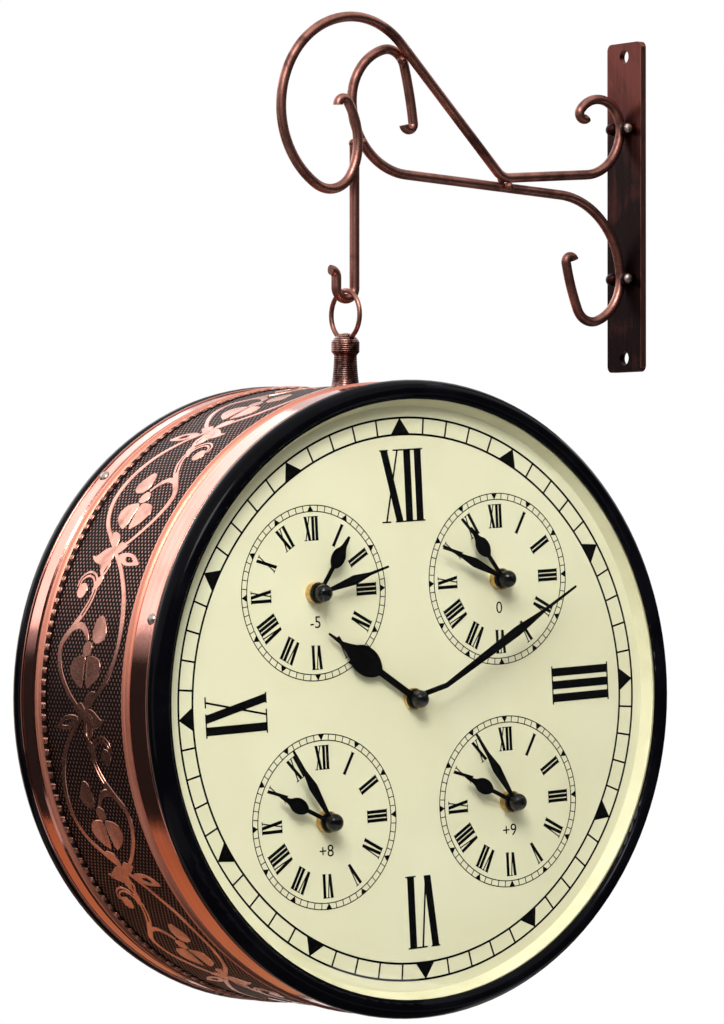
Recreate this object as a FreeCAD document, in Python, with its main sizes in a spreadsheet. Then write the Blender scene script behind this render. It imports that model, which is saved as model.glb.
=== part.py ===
import FreeCAD, Part
import math
import os

import Sketcher
from FreeCAD import Placement, Rotation, Vector

# Driving dimensions in millimetres and degrees
SIZES = {
    # flat bar screwed to the wall
    "plate_length": 154.0,
    "plate_width": 25.0,
    "plate_thick": 3.0,
    "plate_corner": 3.0,
    "screw_inset": 6.5,
    "screw_hole_dia": 6.5,
    # round bar of the scrolls and the hook, and the welds between them
    "rod_dia": 4.5,
    "arm_reach": 163.2,
    "upper_bend": 9.0,
    "upper_wall_bend": 22.4,
    "lower_wall_bend": 38.0,
    "weld_gap": 0.05,
    "lean_gap": 0.2,
    "bead_dia": 4.0,
    "plate_bead_dia": 6.0,
    # hook and ring
    "hook_drop": 47.6,
    "hook_bend": 5.0,
    "hook_lip": 4.5,
    "hook_curl": 3.2,
    "ring_dia": 24.0,
    "ring_wire": 2.2,
    "hang_gap": 0.3,
    "bore_gap": 0.5,
    # drum, band and rims
    "drum_dia": 272.0,
    "drum_wall": 1.5,
    "dial_spacing": 100.0,
    "band_thick": 1.2,
    "band_width": 64.6,
    "band_shift": 2.4,
    "fit_gap": 0.05,
    "trim_width": 4.4,
    "trim_rise": 1.0,
    "rim_rise": 3.0,
    "rim_wall": 1.2,
    "rim_sleeve": 5.0,
    "roll_width": 5.0,
    "roll_rise": 1.3,
    "groove_width": 1.2,
    "groove_depth": 0.8,
    "rim_front": 0.8,
    # bezel, glass, spacer and dial
    "bezel_overhang": 1.0,
    "bezel_height": 9.0,
    "bezel_round": 1.8,
    "spigot_length": 7.0,
    "spigot_wall": 1.5,
    "slip_gap": 0.2,
    "seat_gap": 0.4,
    "lip_width": 4.6,
    "spacer_height": 5.1,
    "spacer_foot": 3.0,
    "glass_thick": 2.0,
    "dial_thick": 1.2,
    "dial_angle": 3.35,
    # screws that hold each bezel inside its rim
    "screw_dia": 3.0,
    "screw_head_dia": 5.2,
    "screw_head_rise": 1.5,
    "screw_depth": 7.2,
    # finial
    "finial_dia": 12.6,
    "finial_waist": 10.2,
    "finial_height": 24.05,
    "finial_head": 9.4,
    "finial_eye": 21.25,
    "shank_dia": 6.0,
    "washer_dia": 14.0,
    "washer_thick": 1.0,
    "nut_dia": 10.0,
    "nut_thick": 5.0,
    # movements
    "sub_across": 50.0,
    "sub_up": 49.6,
    "movement_side": 56.0,
    "movement_depth": 16.0,
    "movement_wall": 1.5,
    "gasket_dia": 16.0,
    "gasket_thick": 1.0,
    "cell_dia": 14.2,
    "cell_length": 49.0,
    "cell_nub_dia": 5.4,
    "cell_nub": 1.2,
    "cell_gap": 0.2,
    "board_length": 36.0,
    "board_width": 12.0,
    "board_thick": 1.6,
    "bush_dia": 8.0,
    "bush_short": 0.3,
    "hole_gap": 0.1,
    "pipe_dia": 5.0,
    "wheel_dia": 12.0,
    "wheel_thick": 1.0,
    "arbor_dia": 3.0,
    "run_gap": 0.06,
    "knob_dia": 14.0,
    "knob_thick": 5.0,
    # hands
    "main_nut_height": 2.0,
    "nut_width": 9.4,
    "nut_gap": 0.4,
    "hand_thick": 0.6,
    "hand_gap": 0.9,
    "pass_gap": 0.4,
    "hub_dia": 7.4,
    "cap_dia": 7.8,
    "cap_seat": 1.2,
    "glass_gap": 0.6,
    "main_hour_length": 55.0,
    "main_hour_spade": 12.5,
    "main_hour_neck": 22.5,
    "main_hour_stem": 3.0,
    "sub_hour_length": 29.0,
    "sub_hour_spade": 6.8,
    "sub_hour_neck": 13.0,
    "sub_hour_stem": 1.8,
    "main_minute_length": 95.5,
    "main_minute_belly": 4.4,
    "main_minute_waist": 57.0,
    "main_minute_stem": 2.2,
    "sub_minute_length": 37.5,
    "sub_minute_belly": 4.3,
    "sub_minute_waist": 18.5,
    "sub_minute_stem": 1.4,
    "tip_width": 0.9,
    "crank_start": 5.0,
    "crank_run": 7.0,
}

# Where each bezel screw stands, degrees round the dial from three o'clock
SCREW_ANGLES = (165.0, 45.0, 285.0)

# Scroll shapes as points (along the arm, up). Points of the wall curls are measured from the line
# where the bar touches the plate, points of the loops from the upright line through the hook.
UPPER_WALL_CORNER = (0.0, 15.9)
UPPER_WALL_CURL = [(-12.2, 49.7), (-24.4, 44.3), (-20.6, 40.6)]
UPPER_CORNER = (-71.65, 10.2)
UPPER_LOOP = [(27.4, 67.7), (-2.1, 78.3), (-40.6, 35.4), (-21.2, 2.6), (-1.6, 7.6), (2.4, 23.5),
              (-3.3, 40.2), (-8.9, 38.5)]
LOWER_WALL_CORNER = (0.0, 2.2)
LOWER_WALL_CURL = [(-14.2, -53.5), (-25.5, -48.5), (-32.15, -27.0), (-27.6, -25.5)]
LOWER_LOOP = [(33.7, 9.5), (3.6, 43.2), (20.7, 65.3), (32.6, 58.8), (37.7, 33.0), (32.6, 32.0)]

# Times that the hands show: hours, minutes
CLOCKS = {
    "main": (10, 10.4),
    "upper_left": (1, 12.6),
    "upper_right": (10, 49.4),
    "lower_left": (9, 55.0),
    "lower_right": (9, 54.6),
}
SIDES = {"front": 0.0, "rear": 180.0}

doc = FreeCAD.newDocument("double_sided_clock")
sheet = doc.addObject("Spreadsheet::Sheet", "Sizes")
for row, (alias, number) in enumerate(SIZES.items(), start=1):
    sheet.set(f"A{row}", alias)
    sheet.set(f"B{row}", str(number))
    sheet.setAlias(f"B{row}", alias)
doc.recompute()

NODES = []


def num(expression):
    """Number that an expression on the sheet stands for"""
    return float(sheet.evalExpression(str(expression)))


def keep(item, label, place=Placement()):
    """Name an object as a sub-part and set its place"""
    item.Label = label
    item.Placement = place
    NODES.append(item)
    return item


# Sketches and bodies

def fix_point(sketch, geometry, end, place):
    """Hold a sketch point at a pair of expressions"""
    for kind, axis, expression in zip(("DistanceX", "DistanceY"), (-2, -1), place):
        if str(expression) == "0":
            sketch.addConstraint(Sketcher.Constraint("PointOnObject", geometry, end, axis))
            continue
        rule = Sketcher.Constraint(kind, -1, 1, geometry, end, num(expression))
        index = sketch.addConstraint(rule)
        sketch.setExpression(f"Constraints[{index}]", str(expression))


def flat(place):
    """Sketch vector of a pair of expressions"""
    return Vector(num(place[0]), num(place[1]), 0)


def add_outline(sketch, corners):
    """Closed outline through corners; ("via", x, y) after a corner makes the next side an arc"""
    count = len(corners)
    sides = []
    for i, corner in enumerate(corners):
        if corner[0] == "via":
            continue
        after = corners[(i + 1) % count]
        if after[0] == "via":
            sides.append((corner, after[1:], corners[(i + 2) % count]))
        else:
            sides.append((corner, None, after))
    ends = []
    for start, via, end in sides:
        if via is None:
            line = sketch.addGeometry(Part.LineSegment(flat(start), flat(end)), False)
            ends.append((line, 1, 2))
            continue
        arc = sketch.addGeometry(Part.Arc(flat(start), flat(via), flat(end)), False)
        forward = sketch.getPoint(arc, 1).distanceToPoint(flat(start)) < 1e-6
        ends.append((arc, 1, 2) if forward else (arc, 2, 1))
        mark = sketch.addGeometry(Part.Point(flat(via)), True)
        fix_point(sketch, mark, 1, via)
        sketch.addConstraint(Sketcher.Constraint("PointOnObject", mark, 1, arc))
    for (line, _, last), (other, first, _) in zip(ends, ends[1:] + ends[:1]):
        sketch.addConstraint(Sketcher.Constraint("Coincident", line, last, other, first))
    for (line, first, _), (start, _, _) in zip(ends, sides):
        fix_point(sketch, line, first, start)


def add_circle(sketch, place, radius):
    """Circle held at a pair of expressions"""
    circle = sketch.addGeometry(Part.Circle(flat(place), Vector(0, 0, 1), num(radius)), False)
    fix_point(sketch, circle, 3, place)
    index = sketch.addConstraint(Sketcher.Constraint("Radius", circle, num(radius)))
    sketch.setExpression(f"Constraints[{index}]", str(radius))


def new_sketch(body, name, role, level="0"):
    """Sketch on one of the body's own planes, raised by level along its normal"""
    sketch = body.newObject("Sketcher::SketchObject", name)
    plane = [item for item in body.Origin.OriginFeatures if item.Role == role][0]
    sketch.AttachmentSupport = [(plane, "")]
    sketch.MapMode = "FlatFace"
    sketch.setExpression("AttachmentOffset.Base.z", str(level))
    return sketch


def add_pad(body, sketch, thick, both_ways=False):
    """Pad of a sketch, away from the dial or to both sides"""
    pad = body.newObject("PartDesign::Pad", sketch.Name + "_pad")
    pad.Profile = sketch
    pad.setExpression("Length", str(thick))
    pad.Midplane = both_ways
    return pad


def cap_via(radius, foot, top):
    """Point half-way out on a round cap between its foot circle and its top on the axis"""
    rise = f"(({top}) - ({foot}))"
    curve = f"((({radius}) ^ 2 + {rise} ^ 2) / (2 * {rise}))"
    half = f"(({radius}) / 2)"
    return ("via", half, f"(({top}) - {curve} * (1 - sqrt(1 - ({half} / {curve}) ^ 2)))")


def turned(name, corners):
    """Body turned about the depth axis: corners are (radius, depth) pairs"""
    body = doc.addObject("PartDesign::Body", name)
    sketch = new_sketch(body, name + "_section", "XY_Plane")
    add_outline(sketch, corners)
    revolution = body.newObject("PartDesign::Revolution", name + "_turn")
    revolution.Profile = sketch
    revolution.ReferenceAxis = (sketch, ["V_Axis"])
    revolution.Angle = 360
    return body


def cylinder(name, radius, length, place):
    """Plain cylinder bound to the sheet"""
    item = doc.addObject("Part::Cylinder", name)
    item.setExpression("Radius", str(radius))
    item.setExpression("Height", str(length))
    item.Placement = place
    return item


def box(name, length, width, height, corner):
    """Plain box bound to the sheet, from its lowest corner"""
    item = doc.addObject("Part::Box", name)
    for field, expression in zip(("Length", "Width", "Height"), (length, width, height)):
        item.setExpression(field, str(expression))
    for axis, expression in zip("xyz", corner):
        item.setExpression(f"Placement.Base.{axis}", str(expression))
    return item


def fused(name, pieces):
    """One solid of several pieces"""
    item = doc.addObject("Part::MultiFuse", name)
    item.Shapes = pieces
    return item


def cut(name, base, tool):
    """Base with the tool taken away"""
    item = doc.addObject("Part::Cut", name)
    item.Base = base
    item.Tool = tool
    return item


def bundle(name, pieces):
    """Several solids kept side by side"""
    item = doc.addObject("Part::Compound", name)
    item.Links = pieces
    return item


def repeated(label, copies):
    """One sub-part of alike solids: copies are (source, place) pairs"""
    doc.recompute()
    shapes = []
    for source, place in copies:
        shape = source.Shape.copy()
        shape.Placement = place.multiply(shape.Placement)
        shapes.append(shape)
    item = doc.addObject("Part::Feature", label)
    item.Shape = Part.makeCompound(shapes)
    return keep(item, label)


# Sizes that follow from the driving ones, as expressions on the sheet

rod_radius = "Sizes.rod_dia / 2"
touch_line = f"(-Sizes.plate_thick - {rod_radius} - Sizes.weld_gap)"
drum_radius = "Sizes.drum_dia / 2"
sleeve_radius = f"({drum_radius} + Sizes.fit_gap + Sizes.rim_wall)"
band_radius = f"({sleeve_radius} + Sizes.fit_gap + Sizes.band_thick)"
rim_radius = f"({drum_radius} + Sizes.rim_rise)"
rim_bore = f"({rim_radius} - Sizes.rim_wall)"
spigot_radius = f"({rim_bore} - Sizes.slip_gap)"
spigot_bore = f"({spigot_radius} - Sizes.spigot_wall)"
bezel_radius = f"({rim_radius} + Sizes.bezel_overhang)"
seat_radius = f"({spigot_bore} - Sizes.seat_gap)"
lip_radius = f"({spigot_bore} - Sizes.lip_width)"
dial_half = "Sizes.dial_spacing / 2"
band_edges = {"front": "(Sizes.band_width / 2 - Sizes.band_shift)",
              "rear": "(Sizes.band_width / 2 + Sizes.band_shift)"}
glass_top = "(Sizes.spacer_height + Sizes.glass_thick)"

# Heights above a dial's face, from the lowest hand to the glass
main_hour_level = "(Sizes.main_nut_height + Sizes.nut_gap)"
main_hour_top = f"({main_hour_level} + Sizes.hand_thick)"
main_minute_level = f"({main_hour_top} + Sizes.hand_gap)"
sub_hour_level = main_minute_level
sub_nut_height = f"({sub_hour_level} - Sizes.nut_gap)"
sub_minute_level = f"({sub_hour_level} + Sizes.hand_thick + Sizes.hand_gap)"
sub_cap_top = f"({sub_minute_level} + Sizes.hand_thick + Sizes.cap_seat + Sizes.cap_dia / 2)"
blade_level = f"({sub_cap_top} + Sizes.pass_gap)"
blade_top = f"({blade_level} + Sizes.hand_thick)"
sweep_share = f"(Sizes.main_minute_length / {lip_radius})"
dome_need = f"({blade_top} + Sizes.glass_gap - Sizes.spacer_height)"
dome_rise = f"({dome_need} / (1 - {sweep_share} * {sweep_share}))"

# Places: the origin is the middle of the wall plate's back, the wall is at +X, the front dial at -Y
hook_x = -num("Sizes.arm_reach")
hook_bottom = -num("Sizes.hook_drop")
ring_middle_radius = num("(Sizes.ring_dia - Sizes.ring_wire) / 2")
ring_top = hook_bottom + num(f"{rod_radius} + Sizes.hang_gap + Sizes.ring_wire / 2")
ring_centre = ring_top - ring_middle_radius
ring_bottom = ring_centre - ring_middle_radius
case_axis = ring_bottom - num(f"{band_radius} + Sizes.fit_gap + Sizes.finial_eye")
CASE = Placement(Vector(hook_x, 0, case_axis), Rotation())
UPRIGHT = Placement(Vector(), Rotation(Vector(1, 0, 0), -90))


def side_place(side):
    """Place of a case half: the rear half is the front one turned about the upright"""
    return CASE.multiply(Placement(Vector(), Rotation(Vector(0, 0, 1), SIDES[side])))


def clock_place(side, clock, turn=0.0):
    """Place on a dial's face at one clock's axis, turned clockwise by an angle from its twelve"""
    across = {"left": -1, "right": 1}.get(clock.split("_")[-1], 0)
    up = {"upper": 1, "lower": -1}.get(clock.split("_")[0], 0)
    dial = Rotation(Vector(0, 1, 0), -num("Sizes.dial_angle"))
    centre = dial.multVec(Vector(across * num("Sizes.sub_across"), 0, up * num("Sizes.sub_up")))
    centre.y = -num(dial_half)
    facing = dial.multiply(Rotation(Vector(0, 1, 0), turn))
    return side_place(side).multiply(Placement(centre, facing))


# Wall plate

def wall_plate():
    body = doc.addObject("PartDesign::Body", "wall_plate")
    sketch = new_sketch(body, "plate_face", "YZ_Plane", "-Sizes.plate_thick")
    half_width = "Sizes.plate_width / 2"
    half_length = "Sizes.plate_length / 2"
    inset = "Sizes.plate_corner"
    bow = f"{inset} * (1 - sqrt(0.5))"
    corners = []
    for across, up in ((1, 1), (-1, 1), (-1, -1), (1, -1)):
        side = (f"{across} * {half_width}", f"{up} * ({half_length} - {inset})")
        end = (f"{across} * ({half_width} - {inset})", f"{up} * {half_length}")
        via = ("via", f"{across} * ({half_width} - {bow})", f"{up} * ({half_length} - {bow})")
        corners += [side, via, end] if across == up else [end, via, side]
    add_outline(sketch, corners)
    for up in (1, -1):
        add_circle(sketch, ("0", f"{up} * ({half_length} - Sizes.screw_inset)"), "Sizes.screw_hole_dia / 2")
    add_pad(body, sketch, "Sizes.plate_thick")
    keep(body, "wall_plate")


# Scrolls and hook: bars bent along straight runs and tangent arcs

def heading(start, end):
    """Direction from one point to another, in radians"""
    return math.atan2(end[1] - start[1], end[0] - start[0])


def stepped(point, angle, length):
    """Point reached from another in a direction"""
    return (point[0] + length * math.cos(angle), point[1] + length * math.sin(angle))


def tangent_arcs(start, angle, points):
    """Arcs through points in turn, each leaving along the one before; gives (start, middle, end)"""
    arcs = []
    for end in points:
        chord = math.hypot(end[0] - start[0], end[1] - start[1])
        bend = math.remainder(heading(start, end) - angle, 2 * math.pi)
        half_chord = chord / (2 * math.cos(bend / 2))
        arcs.append((start, stepped(start, angle + bend / 2, half_chord), end))
        angle += 2 * bend
        start = end
    return arcs


def rounded_corner(before, corner, after, radius):
    """Arc that rounds a corner between two straight runs"""
    angle_in = heading(corner, before)
    angle_out = heading(corner, after)
    half = abs(math.remainder(angle_out - angle_in, 2 * math.pi)) / 2
    middle_angle = angle_in + math.remainder(angle_out - angle_in, 2 * math.pi) / 2
    reach = radius / math.tan(half)
    middle = stepped(corner, middle_angle, radius / math.sin(half) - radius)
    return (stepped(corner, angle_in, reach), middle, stepped(corner, angle_out, reach))


def reversed_arcs(arcs):
    """The same arcs run the other way"""
    return [tuple(reversed(arc)) for arc in reversed(arcs)]


def moved(points, across):
    """Points shifted along the arm"""
    return [(x + across, z) for x, z in points]


def joined(arcs):
    """Arcs in order, with straight runs between those that don't meet"""
    pieces = [arcs[0]]
    for arc in arcs[1:]:
        last = pieces[-1][-1]
        if math.dist(last, arc[0]) > 1e-6:
            pieces.append((last, arc[0]))
        pieces.append(arc)
    return pieces


def path_wire(pieces, lean=0.0):
    """Wire of the pieces in an upright plane that leans towards the front by an angle"""
    def in_space(point):
        along = point[0] - num(touch_line)
        return Vector(num(touch_line) + along * math.cos(lean), along * math.sin(lean), point[1])

    edges = []
    for piece in pieces:
        points = [in_space(point) for point in piece]
        curve = Part.LineSegment(*points) if len(points) == 2 else Part.Arc(*points)
        edges.append(curve.toShape())
    return Part.Wire(edges)


def bent_bar(name, wire, radius):
    """Round bar along a wire"""
    path = doc.addObject("Part::Feature", name + "_path")
    path.Shape = wire
    first = wire.Edges[0]
    start = first.valueAt(first.FirstParameter)
    along = first.tangentAt(first.FirstParameter)
    section = doc.addObject("Part::Circle", name + "_section")
    section.setExpression("Radius", radius)
    section.Placement = Placement(start, Rotation(Vector(0, 0, 1), along))
    bar = doc.addObject("Part::Sweep", name)
    bar.Sections = [section]
    bar.Spine = (path, [f"Edge{i + 1}" for i in range(len(wire.Edges))])
    bar.Solid = True
    bar.Frenet = False
    return bar


def wall_curl(before, corner, points, bend):
    """Bend from a run on to the plate's touching line, and the curl after it; gives arcs from the run"""
    corner = moved([corner], num(touch_line))[0]
    points = moved(points, num(touch_line))
    upright = math.copysign(math.pi / 2, points[0][1] - corner[1])
    turn = rounded_corner(before, corner, stepped(corner, upright, 1.0), num(bend))
    return [turn] + tangent_arcs(turn[2], upright, points)


def upper_pieces():
    corner = moved([UPPER_CORNER], num(touch_line))[0]
    wall = moved([UPPER_WALL_CORNER], num(touch_line))[0]
    loop = moved(UPPER_LOOP, hook_x)
    curl = wall_curl(corner, UPPER_WALL_CORNER, UPPER_WALL_CURL, "Sizes.upper_wall_bend")
    bend = rounded_corner(wall, corner, loop[0], num("Sizes.upper_bend"))
    scroll = tangent_arcs(loop[0], heading(corner, loop[0]), loop[1:])
    return joined(reversed_arcs(curl) + [bend] + scroll)


def lower_arcs():
    wall = moved([LOWER_WALL_CORNER], num(touch_line))[0]
    loop = moved(LOWER_LOOP, hook_x)
    curl = wall_curl(loop[0], LOWER_WALL_CORNER, LOWER_WALL_CURL, "Sizes.lower_wall_bend")
    scroll = tangent_arcs(loop[0], heading(wall, loop[0]), loop[1:])
    return curl, scroll


def lower_pieces():
    curl, scroll = lower_arcs()
    return joined(reversed_arcs(curl) + scroll)


def hook_top(rod_x):
    """Height at which the hook rod meets the underside of the lower scroll's first arc"""
    arc = lower_arcs()[1][0]
    circle = Part.Arc(*[Vector(x, 0, z) for x, z in arc]).toShape().Curve
    reach = circle.Radius + num("Sizes.rod_dia + Sizes.weld_gap")
    return circle.Center.z - math.sqrt(reach ** 2 - (circle.Center.x - rod_x) ** 2)


def hook_pieces():
    bend = num("Sizes.hook_bend")
    curl = num("Sizes.hook_curl")
    turn = hook_bottom + bend
    lip = turn + num("Sizes.hook_lip")
    rod_x = hook_x + bend
    lip_x = hook_x - bend
    trough = ((rod_x, turn), (hook_x, hook_bottom), (lip_x, turn))
    slant = curl * math.sqrt(0.5)
    tip = ((lip_x, lip), (lip_x - curl + slant, lip + slant), (lip_x - curl, lip + curl))
    return [((rod_x, hook_top(rod_x)), trough[0]), trough, (trough[2], tip[0]), tip]


def bracket_bars():
    """Scrolls and hook; the upper scroll leans so that it passes in front of the lower one"""
    crossing = hook_x + max(x for x, z in LOWER_LOOP) - num(touch_line)
    lean = math.asin(num("Sizes.rod_dia + Sizes.lean_gap") / -crossing)
    wires = {
        "upper_scroll": path_wire(upper_pieces(), lean),
        "lower_scroll": path_wire(lower_pieces()),
        "hook_rod": path_wire(hook_pieces()),
    }
    for name, wire in wires.items():
        keep(bent_bar(name, wire, rod_radius), name)
    return wires


def lodged(first, second, size, side):
    """Centre of a ball in the valley between two bars, on one side of them"""
    near, far = first.distToShape(second)[1][0]
    reach = num(f"Sizes.{size} / 2 + {rod_radius} + Sizes.weld_gap")
    across = far - near
    away = Vector(across.z, 0, -across.x).cross(across)
    away.normalize()
    if away.y * side < 0:
        away = -away
    return (near + far) * 0.5 + away * math.sqrt(reach ** 2 - (across.Length / 2) ** 2)


def weld_beads(wires):
    """Balls of weld lodged between the bars, and between the bars and the plate"""
    upper = wires["upper_scroll"]
    lower = wires["lower_scroll"]
    hook = wires["hook_rod"]
    runs = [i for i, edge in enumerate(upper.Edges) if edge.Curve.TypeId == "Part::GeomLine"]
    bend = upper.Edges[runs[0] + 1]
    diagonal = upper.Edges[runs[-1]]
    loop = Part.Wire(lower.Edges[2 - len(LOWER_LOOP):])
    centres = []
    for first, second in ((bend, lower), (diagonal, loop), (hook, lower)):
        centres += [lodged(first, second, "bead_dia", side) for side in (-1, 1)]
    plate_face = -num("Sizes.plate_thick")
    ball = num("Sizes.plate_bead_dia / 2 + Sizes.weld_gap")
    for pieces in (upper_pieces(), lower_pieces()):
        contact = max((point for piece in pieces for point in piece), key=lambda point: point[0])
        offset = plate_face - ball - contact[0]
        out = math.sqrt((ball + num(rod_radius)) ** 2 - offset ** 2)
        centres += [Vector(plate_face - ball, side * out, contact[1]) for side in (-1, 1)]
    balls = []
    for i, centre in enumerate(centres):
        clear = min(Part.Vertex(centre).distToShape(wire)[0] for wire in wires.values()) - num(rod_radius)
        item = doc.addObject("Part::Sphere", f"bead_{i}")
        item.Radius = min(clear, plate_face - centre.x) - num("Sizes.weld_gap")
        item.Placement.Base = centre
        balls.append(item)
    keep(bundle("weld_beads", balls), "weld_beads")


# Hanging ring

def ring_torus(name, wire_radius, place):
    """Ring of round wire standing in the plane across the arm"""
    ring = doc.addObject("Part::Torus", name)
    ring.setExpression("Radius1", "(Sizes.ring_dia - Sizes.ring_wire) / 2")
    ring.setExpression("Radius2", wire_radius)
    ring.Placement = Placement(place, Rotation(Vector(0, 1, 0), 90))
    return ring


def hanging_ring():
    place = Vector(hook_x, 0, ring_centre)
    ring = ring_torus("hanging_ring", "Sizes.ring_wire / 2", place)
    keep(ring, "hanging_ring", ring.Placement)


# Case

def above(height):
    """Depth of a point at a height above the front dial's face"""
    return f"(-{dial_half} - ({height}))"


def drum_and_band():
    hole = f"(Sizes.shank_dia / 2 + Sizes.hole_gap)"
    inner = f"({drum_radius} - Sizes.drum_wall)"
    half = f"({dial_half} - Sizes.dial_thick)"
    skin = f"({sleeve_radius} + Sizes.fit_gap)"
    strips = {"drum_shell": (inner, drum_radius, half, half),
              "embossed_band": (skin, band_radius, band_edges["front"], band_edges["rear"])}
    for name, (low, high, front, rear) in strips.items():
        tube = turned(name + "_tube", [(low, f"-{front}"), (high, f"-{front}"), (high, rear), (low, rear)])
        drill = cylinder(name + "_drill", hole, f"2 * {drum_radius}", Placement())
        keep(cut(name, tube, drill), name, CASE)


def bead_trim():
    """Raised strip along the rear edge of the band that carries the row of beads"""
    foot = f"({band_radius} + Sizes.fit_gap)"
    crown = f"({foot} + Sizes.trim_rise)"
    outer = f"({band_edges['rear']} - Sizes.fit_gap)"
    inner = f"({outer} - Sizes.trim_width)"
    middle = f"({outer} - Sizes.trim_width / 2)"
    keep(turned("bead_trim", [(foot, inner), ("via", crown, middle), (foot, outer)]), "bead_trim", CASE)


def screw_places(side):
    """Places of one bezel's screws, each pointing inwards"""
    depth = -num(f"{dial_half} - Sizes.spigot_length / 2")
    places = []
    for angle in SCREW_ANGLES:
        lean = Rotation(Vector(0, 1, 0), 90 - angle)
        point = lean.multVec(Vector(0, 0, num(rim_radius))) + Vector(0, depth, 0)
        places.append(Placement(point, lean))
    return [side_place(side).multiply(place) for place in places] if side else places


def screw_drill(name, radius):
    """Holes for one bezel's screws"""
    holes = []
    depth = "2 * Sizes.screw_depth"
    sunk = Placement(Vector(0, 0, -num(depth) / 2), Rotation())
    for i, place in enumerate(screw_places(None)):
        holes.append(cylinder(f"{name}_{i}", radius, depth, place.multiply(sunk)))
    return bundle(name, holes)


def rims():
    """Hoops beside the band, each with a rolled edge, a groove, and a sleeve on which the band's edge lies"""
    bore = f"({drum_radius} + Sizes.fit_gap)"
    front = f"(-{dial_half} - Sizes.rim_front)"
    floor = f"({rim_radius} - Sizes.groove_depth)"
    inside = f"({rim_bore} - Sizes.groove_depth)"
    edge_roll = "Sizes.rim_wall / 2"
    for side in SIDES:
        back = f"(-{band_edges[side]} - Sizes.fit_gap)"
        roll = f"({back} - Sizes.roll_width)"
        groove = f"({roll} - Sizes.groove_width)"
        corners = [
            (bore, f"({back} + Sizes.rim_sleeve)"),
            (sleeve_radius, f"({back} + Sizes.rim_sleeve)"),
            (sleeve_radius, back),
            (band_radius, back),
            ("via", f"({band_radius} + Sizes.roll_rise)", f"({back} - Sizes.roll_width / 2)"),
            (floor, roll),
            (floor, groove),
            (rim_radius, f"({groove} - Sizes.groove_depth)"),
            (rim_radius, f"({front} + Sizes.rim_wall)"),
            ("via", f"({rim_radius} + {edge_roll})", f"({front} + {edge_roll})"),
            (rim_radius, front),
            (rim_bore, front),
            (rim_bore, f"({groove} - Sizes.groove_depth - Sizes.rim_wall)"),
            (inside, f"({groove} - Sizes.rim_wall / 2)"),
            (inside, f"({back} - Sizes.rim_wall)"),
            (bore, f"({back} - Sizes.rim_wall)"),
        ]
        hoop = turned(f"{side}_hoop", corners)
        holes = screw_drill(f"{side}_rim_holes", "Sizes.screw_dia / 2 + Sizes.hole_gap")
        keep(cut(f"{side}_rim", hoop, holes), f"{side}_rim", side_place(side))


def bezels():
    skirt = above("Sizes.rim_front + Sizes.fit_gap")
    edge = f"({bezel_radius} - Sizes.bezel_overhang / 2)"
    flank = "(Sizes.rim_front + Sizes.bezel_height) / 2"
    lip_under = above(f"{glass_top} + Sizes.fit_gap")
    lip_nose = above(f"{glass_top} + Sizes.fit_gap + Sizes.rim_wall / 2")
    crest = f"(({lip_radius} + {bezel_radius}) / 2)"
    corners = [
        (spigot_bore, above("-Sizes.spigot_length")),
        (spigot_radius, above("-Sizes.spigot_length")),
        (spigot_radius, skirt),
        (edge, skirt),
        ("via", bezel_radius, above(flank)),
        (f"({bezel_radius} - Sizes.bezel_round)", above("Sizes.bezel_height - Sizes.rim_front")),
        ("via", f"({crest} + Sizes.rim_wall / 2)", above("Sizes.bezel_height + Sizes.rim_wall / 2")),
        (f"({lip_radius} + Sizes.rim_wall)", above("Sizes.bezel_height - Sizes.rim_wall / 3")),
        ("via", f"({lip_radius} + Sizes.rim_wall * 0.3)", above("Sizes.bezel_height - Sizes.rim_wall * 0.6")),
        (lip_radius, lip_nose),
        (lip_radius, lip_under),
        (spigot_bore, lip_under),
    ]
    for side in SIDES:
        ring = turned(f"{side}_bezel_ring", corners)
        holes = screw_drill(f"{side}_bezel_holes", "Sizes.screw_dia / 2 + Sizes.weld_gap")
        keep(cut(f"{side}_bezel", ring, holes), f"{side}_bezel", side_place(side))


def glasses():
    """Domed glass with a flat edge, high enough to clear the main minute hand"""
    inner = above("Sizes.spacer_height")
    outer = above(glass_top)
    inner_top = above(f"Sizes.spacer_height + {dome_rise}")
    outer_top = above(f"{glass_top} + {dome_rise}")
    corners = [
        ("0", inner_top),
        cap_via(lip_radius, inner, inner_top),
        (lip_radius, inner),
        (seat_radius, inner),
        (seat_radius, outer),
        (lip_radius, outer),
        cap_via(lip_radius, outer, outer_top),
        ("0", outer_top),
    ]
    for side in SIDES:
        keep(turned(f"{side}_glass", corners), f"{side}_glass", side_place(side))


def spacer_rings():
    corners = [
        (f"({lip_radius} - Sizes.spacer_foot)", above("0")),
        (seat_radius, above("0")),
        (seat_radius, above("Sizes.spacer_height")),
        (lip_radius, above("Sizes.spacer_height")),
    ]
    for side in SIDES:
        name = f"{side}_spacer_ring"
        keep(turned(name, corners), name, side_place(side))


def dials():
    hole = "Sizes.bush_dia / 2 + Sizes.hole_gap"
    for side in SIDES:
        body = doc.addObject("PartDesign::Body", f"{side}_dial")
        sketch = new_sketch(body, f"{side}_dial_face", "XZ_Plane", f"{dial_half} - Sizes.dial_thick")
        add_circle(sketch, ("0", "0"), seat_radius)
        add_circle(sketch, ("0", "0"), hole)
        for across in (-1, 1):
            for up in (-1, 1):
                add_circle(sketch, (f"{across} * Sizes.sub_across", f"{up} * Sizes.sub_up"), hole)
        add_pad(body, sketch, "Sizes.dial_thick")
        turn = Placement(Vector(), Rotation(Vector(0, 1, 0), -num("Sizes.dial_angle")))
        keep(body, f"{side}_dial", side_place(side).multiply(turn))


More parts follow.
